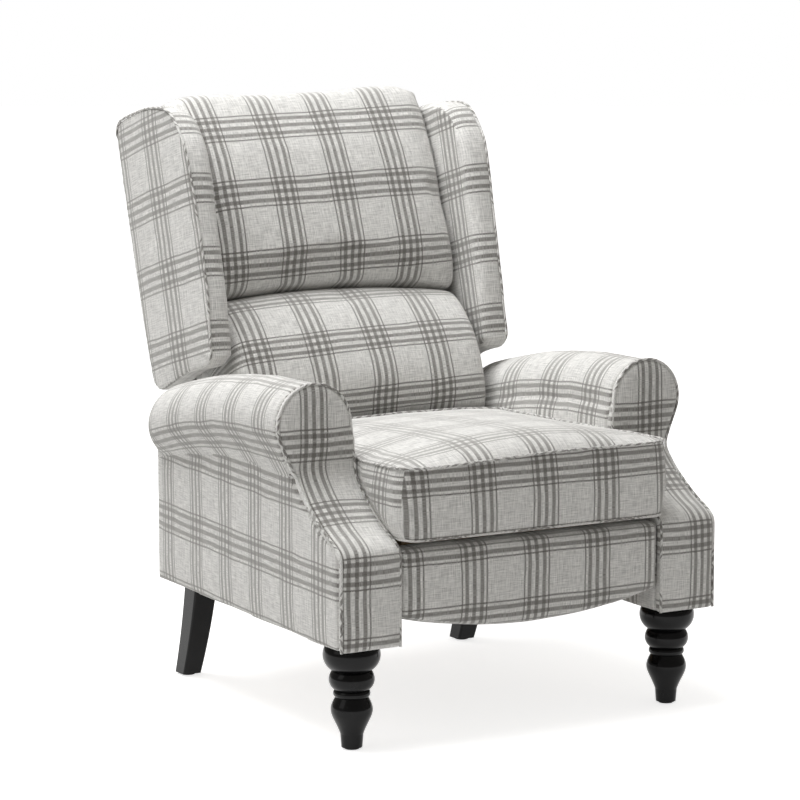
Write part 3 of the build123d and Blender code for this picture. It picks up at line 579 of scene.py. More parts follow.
MAT = {
    "plaid": plaid_material("plaid_linen"),
    "lining": plain_cloth("black_dust_cloth", (0.03, 0.03, 0.032), 1.4),
    "foam": plain_cloth("needled_felt", (0.72, 0.69, 0.62), 3.0, 0.05),
    "webbing": plain_cloth("elastic_webbing", (0.58, 0.5, 0.38), 2.6, 0.5),
    "hardwood": wood_material("raw_hardwood", (0.62, 0.46, 0.29), (0.42, 0.28, 0.16)),
    "black_legs": lacquer_material("black_lacquer"),
    "steel_strip": metal_material("black_enamel", (0.03, 0.03, 0.033), 0.35, 0.3, 120.0),
    "zinc": metal_material("zinc_plate", (0.6, 0.6, 0.6), 1.0, 0.25, 340.0),
    "glide": metal_material("nylon_glide", (0.06, 0.06, 0.06), 0.0, 0.5, 200.0),
}
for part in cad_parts.values():
    for slot in part.material_slots:
        slot.material = MAT.get(slot.material.name.split(".")[0], MAT["plaid"])


# ---- arms ----
BAND = 15.0                           # depth of the arm's front piece
DISC_LOW = 457.0                      # where the arm front passes into the round end of the roll
FLANK_TURN = math.radians(-25)        # where the cloth leaves the roll for its straight flank
FLANK_BIAS = 0.55                     # how far the cloth runs forward on the flank
ENDWAYS = 0.75                        # share of a normal along y from which a face is an end
ROLL_GROUPS = {"left": (165.0, 130.0), "right": (160.0, 103.0)}      # first stripe group along it, pitch

# The arm's front edge in (y, z)
SCROLL = smooth_curve([(-60, 318), (-57, 329), (-43, 341), (-2, 363), (46, 397), (75, 426), (85, 445),
                       (87, 462), (86, 480), (85.5, 514)], 6)

# Rings of the padded shapes: x and how much lower its top is there, or y and its size there
BODY_RINGS = ((ARM_IN, 34), (ARM_IN + 2, 20), (ARM_IN + 6, 8), (ARM_IN + 14, 1), (ARM_OUT - 6, 0),
              (ARM_OUT, 0))
ROLL_RINGS = ((103, 1.0), (230, 1.0), (320, 1.0), (400, 1.0), (470, 1.0), (552, 1.0), (566, 0.97),
              (578, 0.89), (587, 0.77), (592, 0.56))
BAND_RINGS = ((ARM_IN, 22), (ARM_IN + 3, 9), (ARM_IN + 8, 0), (ARM_OUT - 8, 0), (ARM_OUT, 0))
DISC_RINGS = ((84, 0.6), (85.5, 0.86), (88.5, 0.97), (92, 1.0), (103, 1.0))


def arm_base(y):
    """Height of the arm's underside, which rises to the rear."""
    return BASE_Z + BASE_RISE * (y - ARM_FRONT_Y) / (ARM_REAR_Y - ARM_FRONT_Y)


def scroll_at(z):
    """How far back the arm's front lies at height z."""
    return np.interp(z, SCROLL[:, 1], SCROLL[:, 0])


def roll_axis(y):
    """Height of the roll's centre, which falls to the rear."""
    return np.interp(y, [60, 230, 320, 400, 460, 592], [ROLL_Z, ROLL_Z, 513, 503, 492, 462])


def front_path(inset):
    """Arm front in (y, z) from the underside up, moved back by inset."""
    line = np.vstack([[(ARM_FRONT_Y, BASE_Z)], [(ARM_FRONT_Y, 245)], SCROLL])
    return line + [inset, 0]


def flank_drop(y):
    """How far under the roll's centre its outer flank meets the outer panel."""
    return np.interp(y, [90, 560], [86.0, 58.0])


def roll_section(radius, drop, count=56):
    """Offsets (x, z) from the roll's centre: round, with a straight flank down to the outer panel."""
    beside = ARM_OUT + 1 - ROLL_X
    reach = math.hypot(beside, drop)
    half = math.acos(min(1.0, radius / reach))
    a = np.arange(count) * 2 * math.pi / count
    past = (a - math.atan2(-drop, beside) - half + math.pi) % (2 * math.pi) - math.pi
    r = np.where((past < 0) & (past > -half), radius / np.cos(np.clip(past, -half, 0)), radius)
    return np.stack([r * np.cos(a), r * np.sin(a)], -1)


def arm_body():
    """The arm below the roll; its inner side runs up into the roll, lower towards the seat."""
    front = front_path(BAND)
    front[0, 1] = arm_base(ARM_FRONT_Y + BAND)
    rear = [(105, 520), (ARM_REAR_Y - 4, 480), (ARM_REAR_Y, 468), (ARM_REAR_Y, arm_base(ARM_REAR_Y))]
    y, z = np.vstack([front, rear]).T
    top = (z > 466) & (y > 100)
    return stack([places(x, y, z - lower * top) for x, lower in BODY_RINGS])


def arm_roll():
    rings = []
    for y, size in ROLL_RINGS:
        x, z = roll_section(ROLL_R * size, flank_drop(y) * size).T
        rings.append(places(ROLL_X + x, y, roll_axis(y) + z))
    return stack(rings)


def arm_padding(co, no, sign):
    """Outer panel and inner side stand slightly full, the roll a little uneven."""
    _, y, z = co.T
    gap = np.minimum.reduce([y + 45, ARM_REAR_Y - y, z - arm_base(y), roll_axis(y) - 45 - z])
    rise = swell(gap, 60, 3.0) * (np.abs(no[:, 0]) > 0.8)
    co = filled(co, no, rise, (0.9, 90, 1 + sign), (0.35, 30, 5))
    co[:, 0] = np.maximum(co[:, 0], ARM_IN)
    return co


def roll_angle(x, y, z):
    """Angle round the roll: 0 outwards, a quarter turn on top, a half turn at the seat."""
    theta = np.arctan2(z - roll_axis(y), x - ROLL_X)
    return np.where(theta < -2.4, theta + 2 * math.pi, theta)


def arm_cloth(side):
    """The cloth runs round the roll, down its flank outside and down the inner face."""
    first, pitch = ROLL_GROUPS[side]

    def where(p, c, n):
        x, y, z = np.abs(p[:, 0]), p[:, 1], p[:, 2]
        cx, cy, cz = np.abs(c[:, 0]), c[:, 1], c[:, 2]
        axis = roll_axis(cy)
        far = np.hypot(cx - ROLL_X, cz - axis) > ROLL_R - 6
        flank = (cz > axis - flank_drop(cy) + 1) & ((cz > axis) | (cx > ARM_OUT + 1))
        roll = far & flank & (np.abs(n[:, 1]) < ENDWAYS)
        inner = (cx < ROLL_X) & ~roll
        theta = roll_angle(x, y, z)
        run = ROLL_R * (math.pi - np.maximum(theta, FLANK_TURN))
        run = run + ROLL_R * np.tan(np.clip(FLANK_TURN - theta, 0, 0.9))
        run = np.where(inner & (cz < axis), z - roll_axis(y), run)
        bias = FLANK_BIAS * ROLL_R * np.clip(math.radians(-12) - theta, 0, 0.9)
        bias = np.where(inner, 0, bias)
        u = np.where(roll | inner, plaid(y + bias, first, pitch), plaid(y, 11, 106.5))
        u = np.where(np.abs(n[:, 1]) > ENDWAYS, plaid(x, 335), u)
        v = np.where(roll | inner, plaid(run, 119, 126), plaid(z - 0.04 * (y - 440), 300, 128))
        v = np.where((n[:, 2] < -0.8) & (cz < 250), plaid(x, ARM_OUT), v)
        return u, v

    return where


def arm_cover(side, sign):
    o = mesh_object(f"{side}_arm_upholstery", *merge(arm_body(), arm_roll()))
    co, no = remesh(o, 5.0, 5)
    settle(o, arm_padding(co, no, sign), sign)
    fabric(o, arm_cloth(side))
    finish(o, "root", [f"{side}_arm_cover"])


def facing_band():
    """The arm's front piece, which keeps its depth over the sloping part of the scroll."""
    outer = resample(front_path(0), 6)
    outer[0, 1] = arm_base(ARM_FRONT_Y)
    slope = unit(np.gradient(outer, axis=0))
    inner = outer + np.stack([slope[:, 1], -slope[:, 0]], -1) * BAND
    inner[0] = (ARM_FRONT_Y + BAND, arm_base(ARM_FRONT_Y + BAND))
    y, z = np.vstack([outer, inner[::-1]]).T
    top = ease((z - 450) / 50)
    return stack([places(x, y, z - lower * top) for x, lower in BAND_RINGS])


def facing_disc():
    """The round end of the roll."""
    x, z = roll_section(ROLL_R, flank_drop(90)).T
    return stack([places(ROLL_X + size * x, y, ROLL_Z + size * z) for y, size in DISC_RINGS])


def facing_crown(co, no):
    """Rise of the front piece along its middle, below the disc."""
    middle = (ARM_IN + ARM_OUT) / 2
    x, _, z = co.T
    across = np.clip(1 - ((x - middle) / 55) ** 2, 0, 1)
    rise = np.where(z < 455, 4.5 * across * np.clip((z - BASE_Z) / 30, 0, 1), 0)
    ahead = np.clip((-no[:, 1] + no[:, 2] * 0.6), 0, 1)
    return rise * (ahead * ease((DISC_LOW - z) / 60))


def arm_welt(side, sign):
    """Up the outer edge, round the disc and down the inner edge."""
    edge = front_path(0)
    edge[0, 1] = arm_base(ARM_FRONT_Y) + 1
    y, z = (edge[edge[:, 1] < 436] + [1.0, 0]).T
    a = np.radians(np.arange(-21, 181, 6))
    radius = ROLL_R + 0.5
    disc = places(ROLL_X + radius * np.cos(a), 90.0, ROLL_Z + radius * np.sin(a))
    outward = [(ARM_OUT + 4.0, 87.0, 443.0), (ARM_OUT + 15.0, 89.0, 469.0)]
    inward = [(261.0, 89.0, 498.0), (259.0, 88.5, 476.0)]
    path = np.vstack([places(ARM_OUT + 0.5, y, z), outward, disc, inward, places(ARM_IN + 2.2, y, z)[::-1]])
    welt(f"{side}_arm_welt", rounded(path, sign), 2.4, "root", turn=31.0)


def arm_facing(side, sign):
    o = mesh_object(f"{side}_arm_front", *merge(facing_band(), facing_disc()))
    co, no = remesh(o, 4.0, 4)
    settle(o, filled(co, no, facing_crown(co, no), (0.5, 55, 9)), sign)
    line = resample(front_path(0), 4)
    start = along(line[-1:], line)[0] - line[-1, 1]

    def where(p, c, n):
        v = np.where(c[:, 2] > DISC_LOW, start + p[:, 2], along(p[:, 1:3], line))
        group = np.interp(p[:, 2], [300, 490], [341, 335])
        return plaid(np.abs(p[:, 0]), group), plaid(v, 299 - BASE_Z, 130)

    fabric(o, where)
    finish(o, "root", [f"{side}_arm_facing"])
    arm_welt(side, sign)


for side, sign in SIDES.items():
    arm_cover(side, sign)
    arm_facing(side, sign)


# ---- cloth simulation ----
def inflate(o, hold, cap, stiff, bend):
    """Lets the cover fill out by up to cap mm; hold is each vertex's grip, 0 free to 1 fixed."""
    group = o.vertex_groups.new(name="hold")
    for i, grip in enumerate(hold):
        if grip > 0:
            group.add([i], float(grip), "REPLACE")
    rest, _ = points(o)
    m = o.modifiers.new("cloth", "CLOTH")
    c = m.settings
    c.quality = 5
    c.mass = 0.4
    c.tension_stiffness = c.compression_stiffness = stiff
    c.shear_stiffness = stiff * 0.6
    c.bending_stiffness = bend
    c.use_pressure = True
    c.uniform_pressure_force = PRESSURE
    c.effector_weights.gravity = 0
    c.vertex_group_mass = "hold"
    c.pin_stiffness = 1.0
    m.point_cache.frame_start, m.point_cache.frame_end = 1, FRAMES
    scene = bpy.context.scene
    scene.frame_start, scene.frame_end = 1, FRAMES
    for f in range(1, FRAMES + 1):
        scene.frame_set(f)
    applied(o)
    o.vertex_groups.clear()
    scene.frame_set(1)
    co, _ = points(o)
    step = co - rest
    size = np.linalg.norm(step, axis=1)
    step *= (np.minimum(size, cap) / np.maximum(size, 1e-6))[:, None]
    move(o, rest + step)


# ---- seat cushion ----
def lattice(nx, ny, nz, place):
    """A box of small quads; place maps (0..1)^3 to millimetres. Returns verts, faces, side names, index."""
    index, verts = {}, []

    def at(i, j, k):
        key = (i, j, k)
        if key not in index:
            index[key] = len(verts)
            verts.append(place(i / nx, j / ny, k / nz))
        return index[key]

    faces, names = [], []

    def quad(name, *keys):
        faces.append([at(*k) for k in keys])
        names.append(name)

    for i in range(nx):
        for j in range(ny):
            quad("bottom", (i, j, 0), (i, j + 1, 0), (i + 1, j + 1, 0), (i + 1, j, 0))
            quad("top", (i, j, nz), (i + 1, j, nz), (i + 1, j + 1, nz), (i, j + 1, nz))
    for i in range(nx):
        for k in range(nz):
            quad("front", (i, 0, k), (i + 1, 0, k), (i + 1, 0, k + 1), (i, 0, k + 1))
            quad("rear", (i, ny, k), (i, ny, k + 1), (i + 1, ny, k + 1), (i + 1, ny, k))
    for j in range(ny):
        for k in range(nz):
            quad("right", (0, j, k), (0, j, k + 1), (0, j + 1, k + 1), (0, j + 1, k))
            quad("left", (nx, j, k), (nx, j + 1, k), (nx, j + 1, k + 1), (nx, j, k + 1))
    return np.array(verts), faces, names, index


SEAT_HALF, SEAT_FRONT, SEAT_REAR, SEAT_LOW = 253.0, -73.0, 442.0, 343.0
SEAT_CORNER = 30.0                    # radius of the front corners in plan
SEAT_CELLS = (46, 46, 10)


def seat_plan(x, y):
    """Rounds the front corners."""
    cx, cy = SEAT_HALF - SEAT_CORNER, SEAT_FRONT + SEAT_CORNER
    if abs(x) <= cx or y >= cy:
        return x, y
    dx, dy = abs(x) - cx, cy - y
    share = max(dx, dy) / (math.hypot(dx, dy) or 1.0)
    return math.copysign(cx + dx * share, x), cy - dy * share


def seat_place(a, b, c):
    """A crowned cushion: a to the left, b to the rear and c up, each 0 to 1."""
    x, y = seat_plan((2 * a - 1) * SEAT_HALF, SEAT_FRONT + b * (SEAT_REAR - SEAT_FRONT))
    across = abs(2 * a - 1)
    edge = 467.0 + 0.018 * x + 1.8 * math.sin((x + 80) / 62.0) * max(0.0, 1 - b * 3) - 6 * b
    crown = 35.0 * (1 - across ** 2.3) * (1 - math.exp(-b / 0.055)) * (1 - 0.72 * b ** 1.5)
    low = SEAT_LOW + 2.0 * max(0.0, (across - 0.86) / 0.14) ** 2 * max(0.0, 1 - 5 * b)
    belly = math.sin(math.pi * c)
    return x * (1 + 0.028 * belly), y - 2 * belly * (1 - b), low + c * (edge + crown - low)


def seat_cloth(me, verts, faces, names):
    x, y, z = np.array([verts[i] for face in faces for i in face]).T
    side = np.repeat(names, 4)
    flat, ends = np.isin(side, ("top", "bottom")), np.isin(side, ("front", "rear"))
    u = np.where(ends, plaid(x + 0.05 * (z - 400), 11), plaid(y, -10, 106))
    v = np.where(ends, plaid(z, 441), plaid(z, 425))
    store(me, np.where(flat, plaid(x, 8), u), np.where(flat, plaid(y, -10, 118), v))


def seat_grip(index):
    """Underside and rear are fixed, the top seam nearly, the upright corner seams a little."""
    nx, ny, nz = SEAT_CELLS
    hold = np.zeros(len(index))
    for (i, j, k), n in index.items():
        if k == 0 or j == ny:
            hold[n] = 1.0
        elif k == nz and (i in (0, nx) or j == 0):
            hold[n] = 0.85
        elif j == 0 and i in (0, nx):
            hold[n] = 0.4
    return hold


def seat_room(co):
    """1 ahead of the arm fronts, where the cushion may spread, and 0 between the arms."""
    return ease((scroll_at(co[:, 2]) - 8 - co[:, 1]) / 26)


def seat_spread(co, top):
    """Ahead of the arm fronts the cushion spreads a little past the arms' inner faces."""
    room = seat_room(co)
    co[:, 0] *= 1 + 0.038 * room * ease((np.abs(co[:, 0]) - 120) / 130)
    limit = 255.2 + 14 * room
    co[:, 0] = np.clip(co[:, 0], -limit, limit)
    co[:, 2] = np.maximum(co[:, 2], SEAT_LOW - 0.8)
    wave = 0.9 * ripple(co, 70, 3)
    co[top, 2] += wave[top]


def seat_welts(co, index):
    nx, ny, nz = SEAT_CELLS
    around = [(i, 0) for i in range(nx)] + [(nx, j) for j in range(ny)]
    around += [(i, ny) for i in range(nx, 0, -1)] + [(0, j) for j in range(ny, 0, -1)]
    for k, name, lift in ((nz, "top", 0.6), (0, "bottom", 1.6)):
        ring = co[[index[(i, j, k)] for i, j in around]]
        out = ring - ring.mean(0)
        out[:, 2] = 0
        path = smooth_curve(resample(ring + unit(out) * 0.8, 12, True), 3, True) + [0, 0, lift]
        limit = 253.4 + 13 * seat_room(path)
        path[:, 0] = np.clip(path[:, 0], -limit, limit)
        welt(f"seat_{name}_welt", path, 2.2, "seat", turn=12.0 + 9 * k, closed=True)


def seat_cushion():
    verts, faces, names, index = lattice(*SEAT_CELLS, seat_place)
    o = plain_object("seat_cushion_cover", verts, faces)
    seat_cloth(o.data, verts, faces, names)
    inflate(o, seat_grip(index), cap=5.0, stiff=14.0, bend=0.6)
    co, _ = points(o)
    top = [n for (_, _, k), n in index.items() if k == SEAT_CELLS[2]]
    seat_spread(co, top)
    move(o, co)
    seat_welts(co, index)
    subdivide(o)
    finish(o, "seat", ["seat_cushion"])


# ---- wings ----
WING_FRONT = [(-127, 222), (-131, 278), (-137, 325), (-139.5, 400), (-140, 470), (-141, 526), (-135, 592),
              (-110, 646), (-86, 668), (-60, 678), (-24, 686), (12, 690), (84, 691), (107, 683), (118, 660)]
# Heights t, and how far the outer face toes in there
WING_DRAW = ([200, 278, 350, 420, 526, 590, 690], [8, 10, 11, 9.5, 6.5, 4, 3])
WING_BEND = 526.0                     # above this the band follows the curve over the top
WING_CENTRE = (-20.0, 450.0)
# x, and how far inside the outline the skin lies there
WING_RINGS = ((WING_IN, 16), (WING_IN + 3, 10), (WING_IN + 8, 5.5), (WING_IN + 15, 2.2), (WING_IN + 24, 0.4),
              (WING_OUT - 4, 0), (WING_OUT, 1.0))


def wing_line():
    """Outline of the wing in (n, t), from its lower front corner over the top to the lower rear."""
    front = smooth_curve(WING_FRONT, 8)
    rest = smooth_curve([(118, 640), (112, 430), (104, 300), (100, 240), (97, 214), (86, 197), (64, 190)], 6)
    foot = smooth_curve([(56, 190), (-40, WING_FOOT), (-100, WING_FOOT), (-117, WING_FOOT + 5)], 5)
    return np.vstack([front, rest, foot])


def wing_top(n):
    """Height of the wing's edge at n."""
    return np.interp(n, [-141, -110, -60, 12, 84, 114], [526, 646, 678, 690, 690, 658])


def toe_in(x, n, t):
    """Draws the outer face of the wing in towards its front edge."""
    share = np.clip((np.abs(x) - WING_IN) / (WING_OUT - WING_IN), 0, 1.2)
    return x - np.sign(x) * share * np.interp(t, *WING_DRAW) * np.clip((20 - n) / 160, 0, 1)


def wing_shape():
    outline = resample(wing_line(), 8, True)
    inward = unit(np.array(WING_CENTRE) - outline)
    return stack([back(x, *(outline + inward * k).T) for x, k in WING_RINGS])


def wing_padding(co, no, sign):
    """Full faces, and a gathered tuck where the band ends at the lower front corner."""
    line = resample(wing_line(), 6, True)
    gap = np.array([np.min(np.hypot(line[:, 0] - n, line[:, 1] - t)) for n, t in to_back(co)[:, 1:3]])
    rise = swell(gap, 55, 3.0) * (np.abs(no[:, 0]) > 0.7)
    co = filled(co, no, rise, (0.8, 75, 31 + sign), (0.3, 24, 33))
    _, n, t = to_back(co).T
    foot = np.exp(-((t - WING_FOOT - 16) / 17) ** 2) * np.clip((-n - 78) / 30, 0, 1)
    pleat = foot * 1.9 * np.sin((n * 0.75 - t) / 4.6)
    return co + no * pleat[:, None]


def wing_fit(co):
    """Toes the wing in; behind the back frame its cover reaches in to the outside back."""
    co[:, 0] = np.clip(co[:, 0], WING_IN, WING_OUT + 4.0)
    _, n, t = to_back(co).T
    co[:, 0] -= 5.5 * ease((n - 78) / 18) * ease((WING_IN + 8 - co[:, 0]) / 6)
    co[:, 0] = toe_in(co[:, 0], n, t)
    return co


def wing_cloth(p, c, n):
    line = wing_line()
    bend = along(np.array([(-141.0, WING_BEND)]), line)[0]
    b, bc = to_back(p), to_back(c)
    face = np.abs(n[:, 0]) > 0.72
    inside = np.abs(c[:, 0]) < (WING_IN + WING_OUT) / 2
    rim = np.where(bc[:, 2] > WING_BEND, WING_BEND + along(b[:, 1:3], line) - bend, b[:, 2])
    u = np.where(inside, plaid(b[:, 1], -88), plaid(b[:, 1], -20, 130))
    u = np.where(face, u, plaid(-141 - 0.85 * (np.abs(p[:, 0]) - WING_IN), -88))
    return u, plaid(np.where(face, b[:, 2], rim), 256, 130)


def wing_welt(side, sign):
    """Round the outer face's front and top, with both ends tucked in."""
    n, t = np.vstack([[(-112, WING_FOOT + 6)], smooth_curve(WING_FRONT, 8)]).T
    path = back(WING_OUT + 0.2, n, t)
    path[:, 0] = toe_in(path[:, 0], n, t)
    path[-1, 0] -= 5.0
    path[0, 0] -= 3.0
    welt(f"{side}_wing_welt", rounded(path, sign), 2.2, "back", turn=88.0)


def wing(side, sign):
    o = mesh_object(f"{side}_wing_upholstery", *wing_shape())
    co, no = remesh(o, 4.5, 4)
    settle(o, wing_fit(wing_padding(co, no, sign)), sign)
    fabric(o, wing_cloth)
    finish(o, "back", [f"{side}_wing_cover"])
    wing_welt(side, sign)


for side, sign in SIDES.items():
    wing(side, sign)


# ---- back cushions ----
HEAD_FRONT = [(50, CREASE), (0, CREASE), (-50, CREASE + 1), (-68, 357), (-77, 400), (-75, 450), (-69, 500),
              (-60, 560), (-46, 622), (-30, 672), (-10, 706), (12, HEAD_TOP - 2), (32, HEAD_TOP), (50, 714)]
LUMBAR_FRONT = [(50, 80), (-60, 78), (-112, 81), (-136, 112), (-139, 165), (-129, 225), (-103, 285),
                (-70, 328), (-40, CREASE - 1), (50, CREASE - 1)]
LUMBAR_LOW = 77.0
PILLOW_REAR = 56.0
# Distance from the cushion's end, and how full it is there
PILLOW_ENDS = ((0, 0.80), (2, 0.88), (7, 0.945), (16, 0.98), (34, 0.996), (80, 1.0))


def crease(x):
    """Height t of the arched crease between the head and lumbar cushions."""
    return 326.0 + 17.0 * (1 - (np.minimum(np.abs(x), 256.0) / 256.0) ** 2)


def pillow_skin(line, half):
    """The profile swept across the back, shallower towards its two ends."""
    rear = [(PILLOW_REAR, line[-1, 1]), (PILLOW_REAR, line[0, 1])]
    loop = resample(np.vstack([line, rear]), 9, True)
    middle = (line[0, 1] + line[-1, 1]) / 2
    ends = [(i - half, k) for i, k in PILLOW_ENDS]
    rings = []
    for x, k in ends + [(0, 1.0)] + [(-x, k) for x, k in reversed(ends)]:
        n = PILLOW_REAR + (loop[:, 0] - PILLOW_REAR) * k
        rings.append(back(x, n, middle + (loop[:, 1] - middle) * (0.955 + 0.045 * k)))
    return stack(rings)


def pillow_arch(b, line, half, head):
    """The seam follows the arched crease, and the top of the head cushion arches too."""
    x, n, t = b.T
    low, high = line[0, 1], line[-1, 1]
    reach = 0.5 * (high - low)
    arch = crease(x) - CREASE
    if head:
        t = t + arch * np.clip(1 - (t - low) / reach, 0, 1)
        t = t - 5 * (x / half) ** 2 * ease((t - (low + high) / 2) / reach)
    else:
        t = t + arch * np.clip(1 - (high - t) / reach, 0, 1)
    return places(x, n, t)


def pillow_fit(b, half, head):
    """Keeps the cushion in its place; above the wings the head cushion spreads over them."""
    x, n, t = b.T
    limit = half
    if head:
        free = ease((t - wing_top(n) - 2) / 22)
        x = x * (1 + 0.04 * free)
        limit = half + 9 * free
        shoulder = 7 * ease((np.abs(x) - 60) / 120) - 10 * ease((np.abs(x) - 218) / 44)
        t = t + (shoulder + 0.03 * x) * ease((t - 600) / 90)
    x = np.clip(x, -limit, limit)
    n = np.minimum(n, PILLOW_REAR)
    if head:
        t = np.maximum(t, crease(x) + 0.4)
    else:
        t = np.minimum(np.maximum(t, LUMBAR_LOW), crease(x) - 0.4)
    return places(x, n, t)


def pillow_cloth(line, centre_x, group_t, pitch):
    group_n = np.interp(group_t, line[:, 1], line[:, 0])
    group_run = along(np.array([(group_n, group_t)]), line)[0]

    def where(p, c, n):
        b = to_back(p)
        v = along(b[:, 1:3], line)
        return plaid(b[:, 0], centre_x), plaid(v - 0.04 * b[:, 0], group_run, pitch)

    return where


def pillow(part, front, half, group, seed):
    """The head or lumbar cushion, from its front profile in (n, t)."""
    head = part == "head"
    line = resample(smooth_curve(front, 8), 9)
    o = mesh_object(f"{part}_cushion_cover", *pillow_skin(line, half))
    co, _ = remesh(o, 8.0, 3)
    b = pillow_arch(to_back(co), line, half, head)
    move(o, back(*b.T))
    hold = np.where(b[:, 1] > PILLOW_REAR - 12, 1.0, 0.0)
    if head:
        hold = np.maximum(hold, 0.5 * ease((b[:, 2] - HEAD_TOP + 60) / 40))
    inflate(o, hold, cap=7.0, stiff=12.0, bend=4.0)
    b = pillow_fit(to_back(points(o)[0]), half, head)
    move(o, back(*b.T))
    co, no = points(soften(o, 4))
    move(o, filled(co, no, np.zeros(len(co)), (0.7, 85, seed), (0.25, 26, seed + 3)))
    subdivide(o)
    fabric(o, pillow_cloth(line, *group))
    finish(o, "back", [f"{part}_cushion"])


seat_cushion()
pillow("head", HEAD_FRONT, 259.5, (33, 391, 130), seed=11)
pillow("lumbar", LUMBAR_FRONT, 254.5, (28, 233, 113), seed=21)


# ---- footrest, outside back, rear of the base, deck and webbing ----
def footrest_pad():
    half, top, low_side, low_middle = 254.0, 330.0, 216.0, 184.0
    centre_z, flat_height = 262.0, 74
    radius = (half ** 2 + (low_side - low_middle) ** 2) / (2 * (low_side - low_middle))
    turn = math.asin(half / radius)
    bow = [(radius * math.sin(t), low_middle + radius - radius * math.cos(t))
           for t in np.linspace(turn, -turn, 60)]
    x, z = resample(np.array([(-half, top), (half, top), *bow]), 8, True).T
    rings = []
    for y, k in ((-57.0, 13), (-56.0, 7), (-53.0, 3), (-48.0, 0.8), (-41.0, 0), (-13.0, 0), (-11.5, 1.0)):
        height = centre_z + (z - centre_z) * (1 - k / flat_height)
        rings.append(places(x * ((half - k) / half), y, height))
    o = mesh_object("footrest_upholstery", *stack(rings))
    co, no = remesh(o, 5.0, 3)
    low = low_middle + radius - np.sqrt(radius ** 2 - np.clip(co[:, 0], -half, half) ** 2)
    gap = np.minimum.reduce([half - np.abs(co[:, 0]), top - co[:, 2], co[:, 2] - low])
    rise = swell(gap, 45, 4.5) * (no[:, 1] < -0.6)
    co = filled(co, no, rise, (0.7, 70, 41), (0.25, 24, 42))
    co[:, 0] = np.clip(co[:, 0], -half, half)
    co[:, 2] = np.minimum(co[:, 2], top)
    move(o, co)

    def where(p, c, n):
        u = np.where(np.abs(n[:, 0]) > 0.7, p[:, 1] + 200, p[:, 0])
        v = np.where(np.abs(n[:, 2]) > 0.7, p[:, 1] + 386, p[:, 2])
        return plaid(u, 4, 122), plaid(v, 326, 122)

    fabric(o, where)
    finish(o, "footrest", ["footrest_pad"])


def outside_back():
    o = add_object("outside_back_cover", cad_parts["back_panel"].data.copy())
    co, no = remesh(o, 5.0, 3)
    b = to_back(co)
    gap = np.minimum.reduce([250 - np.abs(b[:, 0]), b[:, 2] - 20, 690 - b[:, 2]])
    rise = swell(gap, 70, 3.0) * (b[:, 1] > 104)
    move(o, filled(co, no, rise, (0.9, 95, 51)))

    def where(p, c, n):
        b = to_back(p)
        u = np.where(np.abs(n[:, 0]) > 0.8, b[:, 1], b[:, 0])
        v = np.where(b[:, 1] > 100, b[:, 2], b[:, 2] + 100 - b[:, 1])
        return plaid(u, 8), plaid(v, 256, 130)

    fabric(o, where)
    finish(o, "back", ["back_panel"])
    x = np.linspace(-258, 258, 60)
    welt("back_top_welt", back(x, 104.0, 688.0 + 2 * np.cos(x / 170)), 2.3, "back", turn=3.0)


def rear_skirt():
    """Cloth over the rail between the arms, at the rear."""
    def place(a, b, c):
        puff = 1.6 * math.sin(math.pi * a) ** 0.5 * math.sin(math.pi * c) if b > 0.9 else 0
        return (2 * a - 1) * ARM_IN, ARM_REAR_Y - 4.0 + 4.0 * b + puff, 189.0 + 89.0 * c

    verts, faces, _, _ = lattice(60, 1, 12, place)
    o = mesh_object("base_rear_cover", verts, faces)
    bevel(o, 1.2)
    fabric(o, lambda p, c, n: (plaid(p[:, 0], 8), plaid(p[:, 2], 230)))
    finish(o, "root", ["base_rear_panel"])


def deck():
    """Felt over the springs, which press into it in rows."""
    half, depth, z, thick, spacing = 221.0, 526.0, 336.0, 4.6, 47

    def place(a, b, c):
        x = (2 * a - 1) * half
        rows = math.cos(x / spacing * math.pi) ** 8
        lift = -0.9 * (rows + 1) * 0.5 * math.sin(math.pi * b) * c
        soft = 1.2 * (1 - max(abs(2 * a - 1), abs(2 * b - 1)) ** 12)
        return x, depth * b, z + (thick + soft) * c + lift

    verts, faces, _, _ = lattice(48, 52, 1, place)
    o = mesh_object("deck_felt", verts, faces)
    bevel(o, 1.5)
    finish(o, "seat", ["seat_deck"], slot="foam")


def strap(t):
    """One elastic strap across the back frame, 50 mm wide, its middle sagging to the rear."""
    def place(a, b, c):
        sag = 1.5 * (1 - (2 * a - 1) ** 2)
        n = 58.0 + sag * 0.6 + 2.0 * (1 - b) - 0.4 * math.sin(math.pi * c) ** 2
        return tuple(back((2 * a - 1) * 225, n, t - 25 + 50 * c))

    verts, faces, _, _ = lattice(60, 1, 10, place)
    return verts, faces


def webbing():
    low, high, count = 100.0, 608.0, 6
    straps = [strap(low + (high - low) * k / (count - 1)) for k in range(count)]
    o = mesh_object("back_web_straps", *merge(*straps))
    finish(o, "back", ["back_webbing"], slot="webbing")


footrest_pad()
outside_back()
rear_skirt()
deck()
webbing()


# ---- floor, light and camera ----
FLOOR_R, FLOOR_SIDES, FLOOR_Z = 30.0, 48, -0.0005      # metres
SKY_TINT, SKY_LIGHT = (1.0, 0.965, 0.91), 0.305
PICTURE, FOCAL = 800, 2997.9          # picture width and focal length, in pixels
CAMERA_AT, CAMERA_TILT, CAMERA_TURN = (-2.70675, -4.49198, 1.20038), 82.45, -31.16


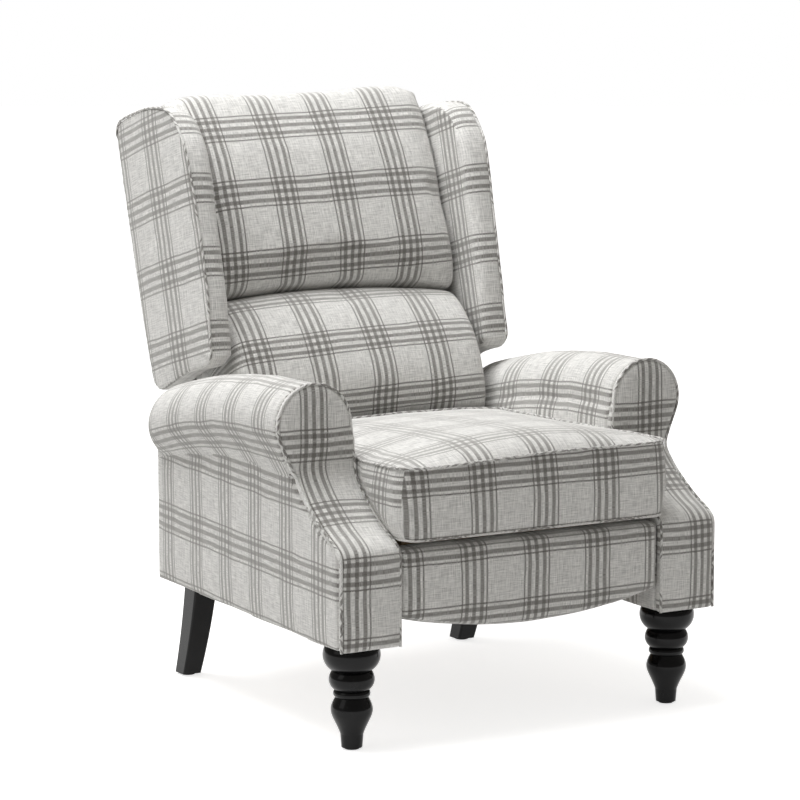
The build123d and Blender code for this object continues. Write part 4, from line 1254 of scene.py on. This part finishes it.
def floor_material():
    """Pale, and for the camera it glows up to the white of the background away from the chair."""
    m = material("pale_floor")
    m.out(Base_Color=(0.8, 0.8, 0.8), Roughness=0.9)
    rays = m.add("ShaderNodeLightPath").outputs
    seen = m.math("MAXIMUM", rays["Is Camera Ray"],
                  m.math("MAXIMUM", rays["Is Glossy Ray"], rays["Is Transmission Ray"]))
    away = m.add("ShaderNodeVectorMath", operation="LENGTH")
    m.link(m.place(), away.inputs[0])
    fade = m.spread(away.outputs["Value"], 0.74, 1.0, start=0.9, end=2.6)
    glow = m.fill(m.add("ShaderNodeEmission"), Color=(1, 1, 1), Strength=m.times(seen, fade))
    total = m.add("ShaderNodeAddShader")
    m.link(m.shader.outputs[0], total.inputs[0])
    m.link(glow.outputs[0], total.inputs[1])
    m.link(total.outputs[0], m.tree.nodes["Material Output"].inputs["Surface"])
    return m.owner


def floor():
    turns = [2 * math.pi * k / FLOOR_SIDES for k in range(FLOOR_SIDES)]
    rim = [(FLOOR_R * math.cos(a), FLOOR_R * math.sin(a), FLOOR_Z) for a in turns]
    me = bpy.data.meshes.new("studio_floor")
    me.from_pydata([(0, 0, FLOOR_Z), *rim], [],
                   [(0, 1 + k, 1 + (k + 1) % FLOOR_SIDES) for k in range(FLOOR_SIDES)])
    me.materials.append(floor_material())
    o = add_object("studio_floor", me)


def lamp(name, at, aim, size, power):
    data = bpy.data.lights.new(name, "AREA")
    data.shape = "RECTANGLE"
    data.size, data.size_y = size
    data.energy = power
    o = add_object(name, data)
    o.location = at
    o.rotation_euler = (Vector(aim) - Vector(at)).to_track_quat("-Z", "Y").to_euler()


def studio():
    """White to the camera; a dim, warm sky and two soft boxes light the chair."""
    world = bpy.data.worlds.new("studio")
    bpy.context.scene.world = world
    sky = Nodes(world, "Background")
    rays = sky.add("ShaderNodeLightPath").outputs
    seen = sky.math("MAXIMUM", rays["Is Camera Ray"], rays["Is Transmission Ray"])
    sky.out(Color=sky.mix(seen, SKY_TINT, (1, 1, 1)), Strength=sky.spread(seen, SKY_LIGHT, 1.0))
    lamp("overhead_box", at=(-0.95, 0.35, 3.8), aim=(0, 0, 0.45), size=(2.4, 2.4), power=134)
    lamp("left_box", at=(-3.3, -0.2, 1.9), aim=(0, 0, 0.6), size=(1.6, 2.0), power=9)


def camera():
    data = bpy.data.cameras.new("camera")
    data.sensor_width = 36.0
    data.lens = data.sensor_width * FOCAL / PICTURE
    o = add_object("camera", data)
    o.location = CAMERA_AT
    o.rotation_euler = (math.radians(CAMERA_TILT), 0, math.radians(CAMERA_TURN))
    bpy.context.scene.camera = o


floor()
studio()
camera()
bpy.context.scene.view_settings.view_transform = "Standard"
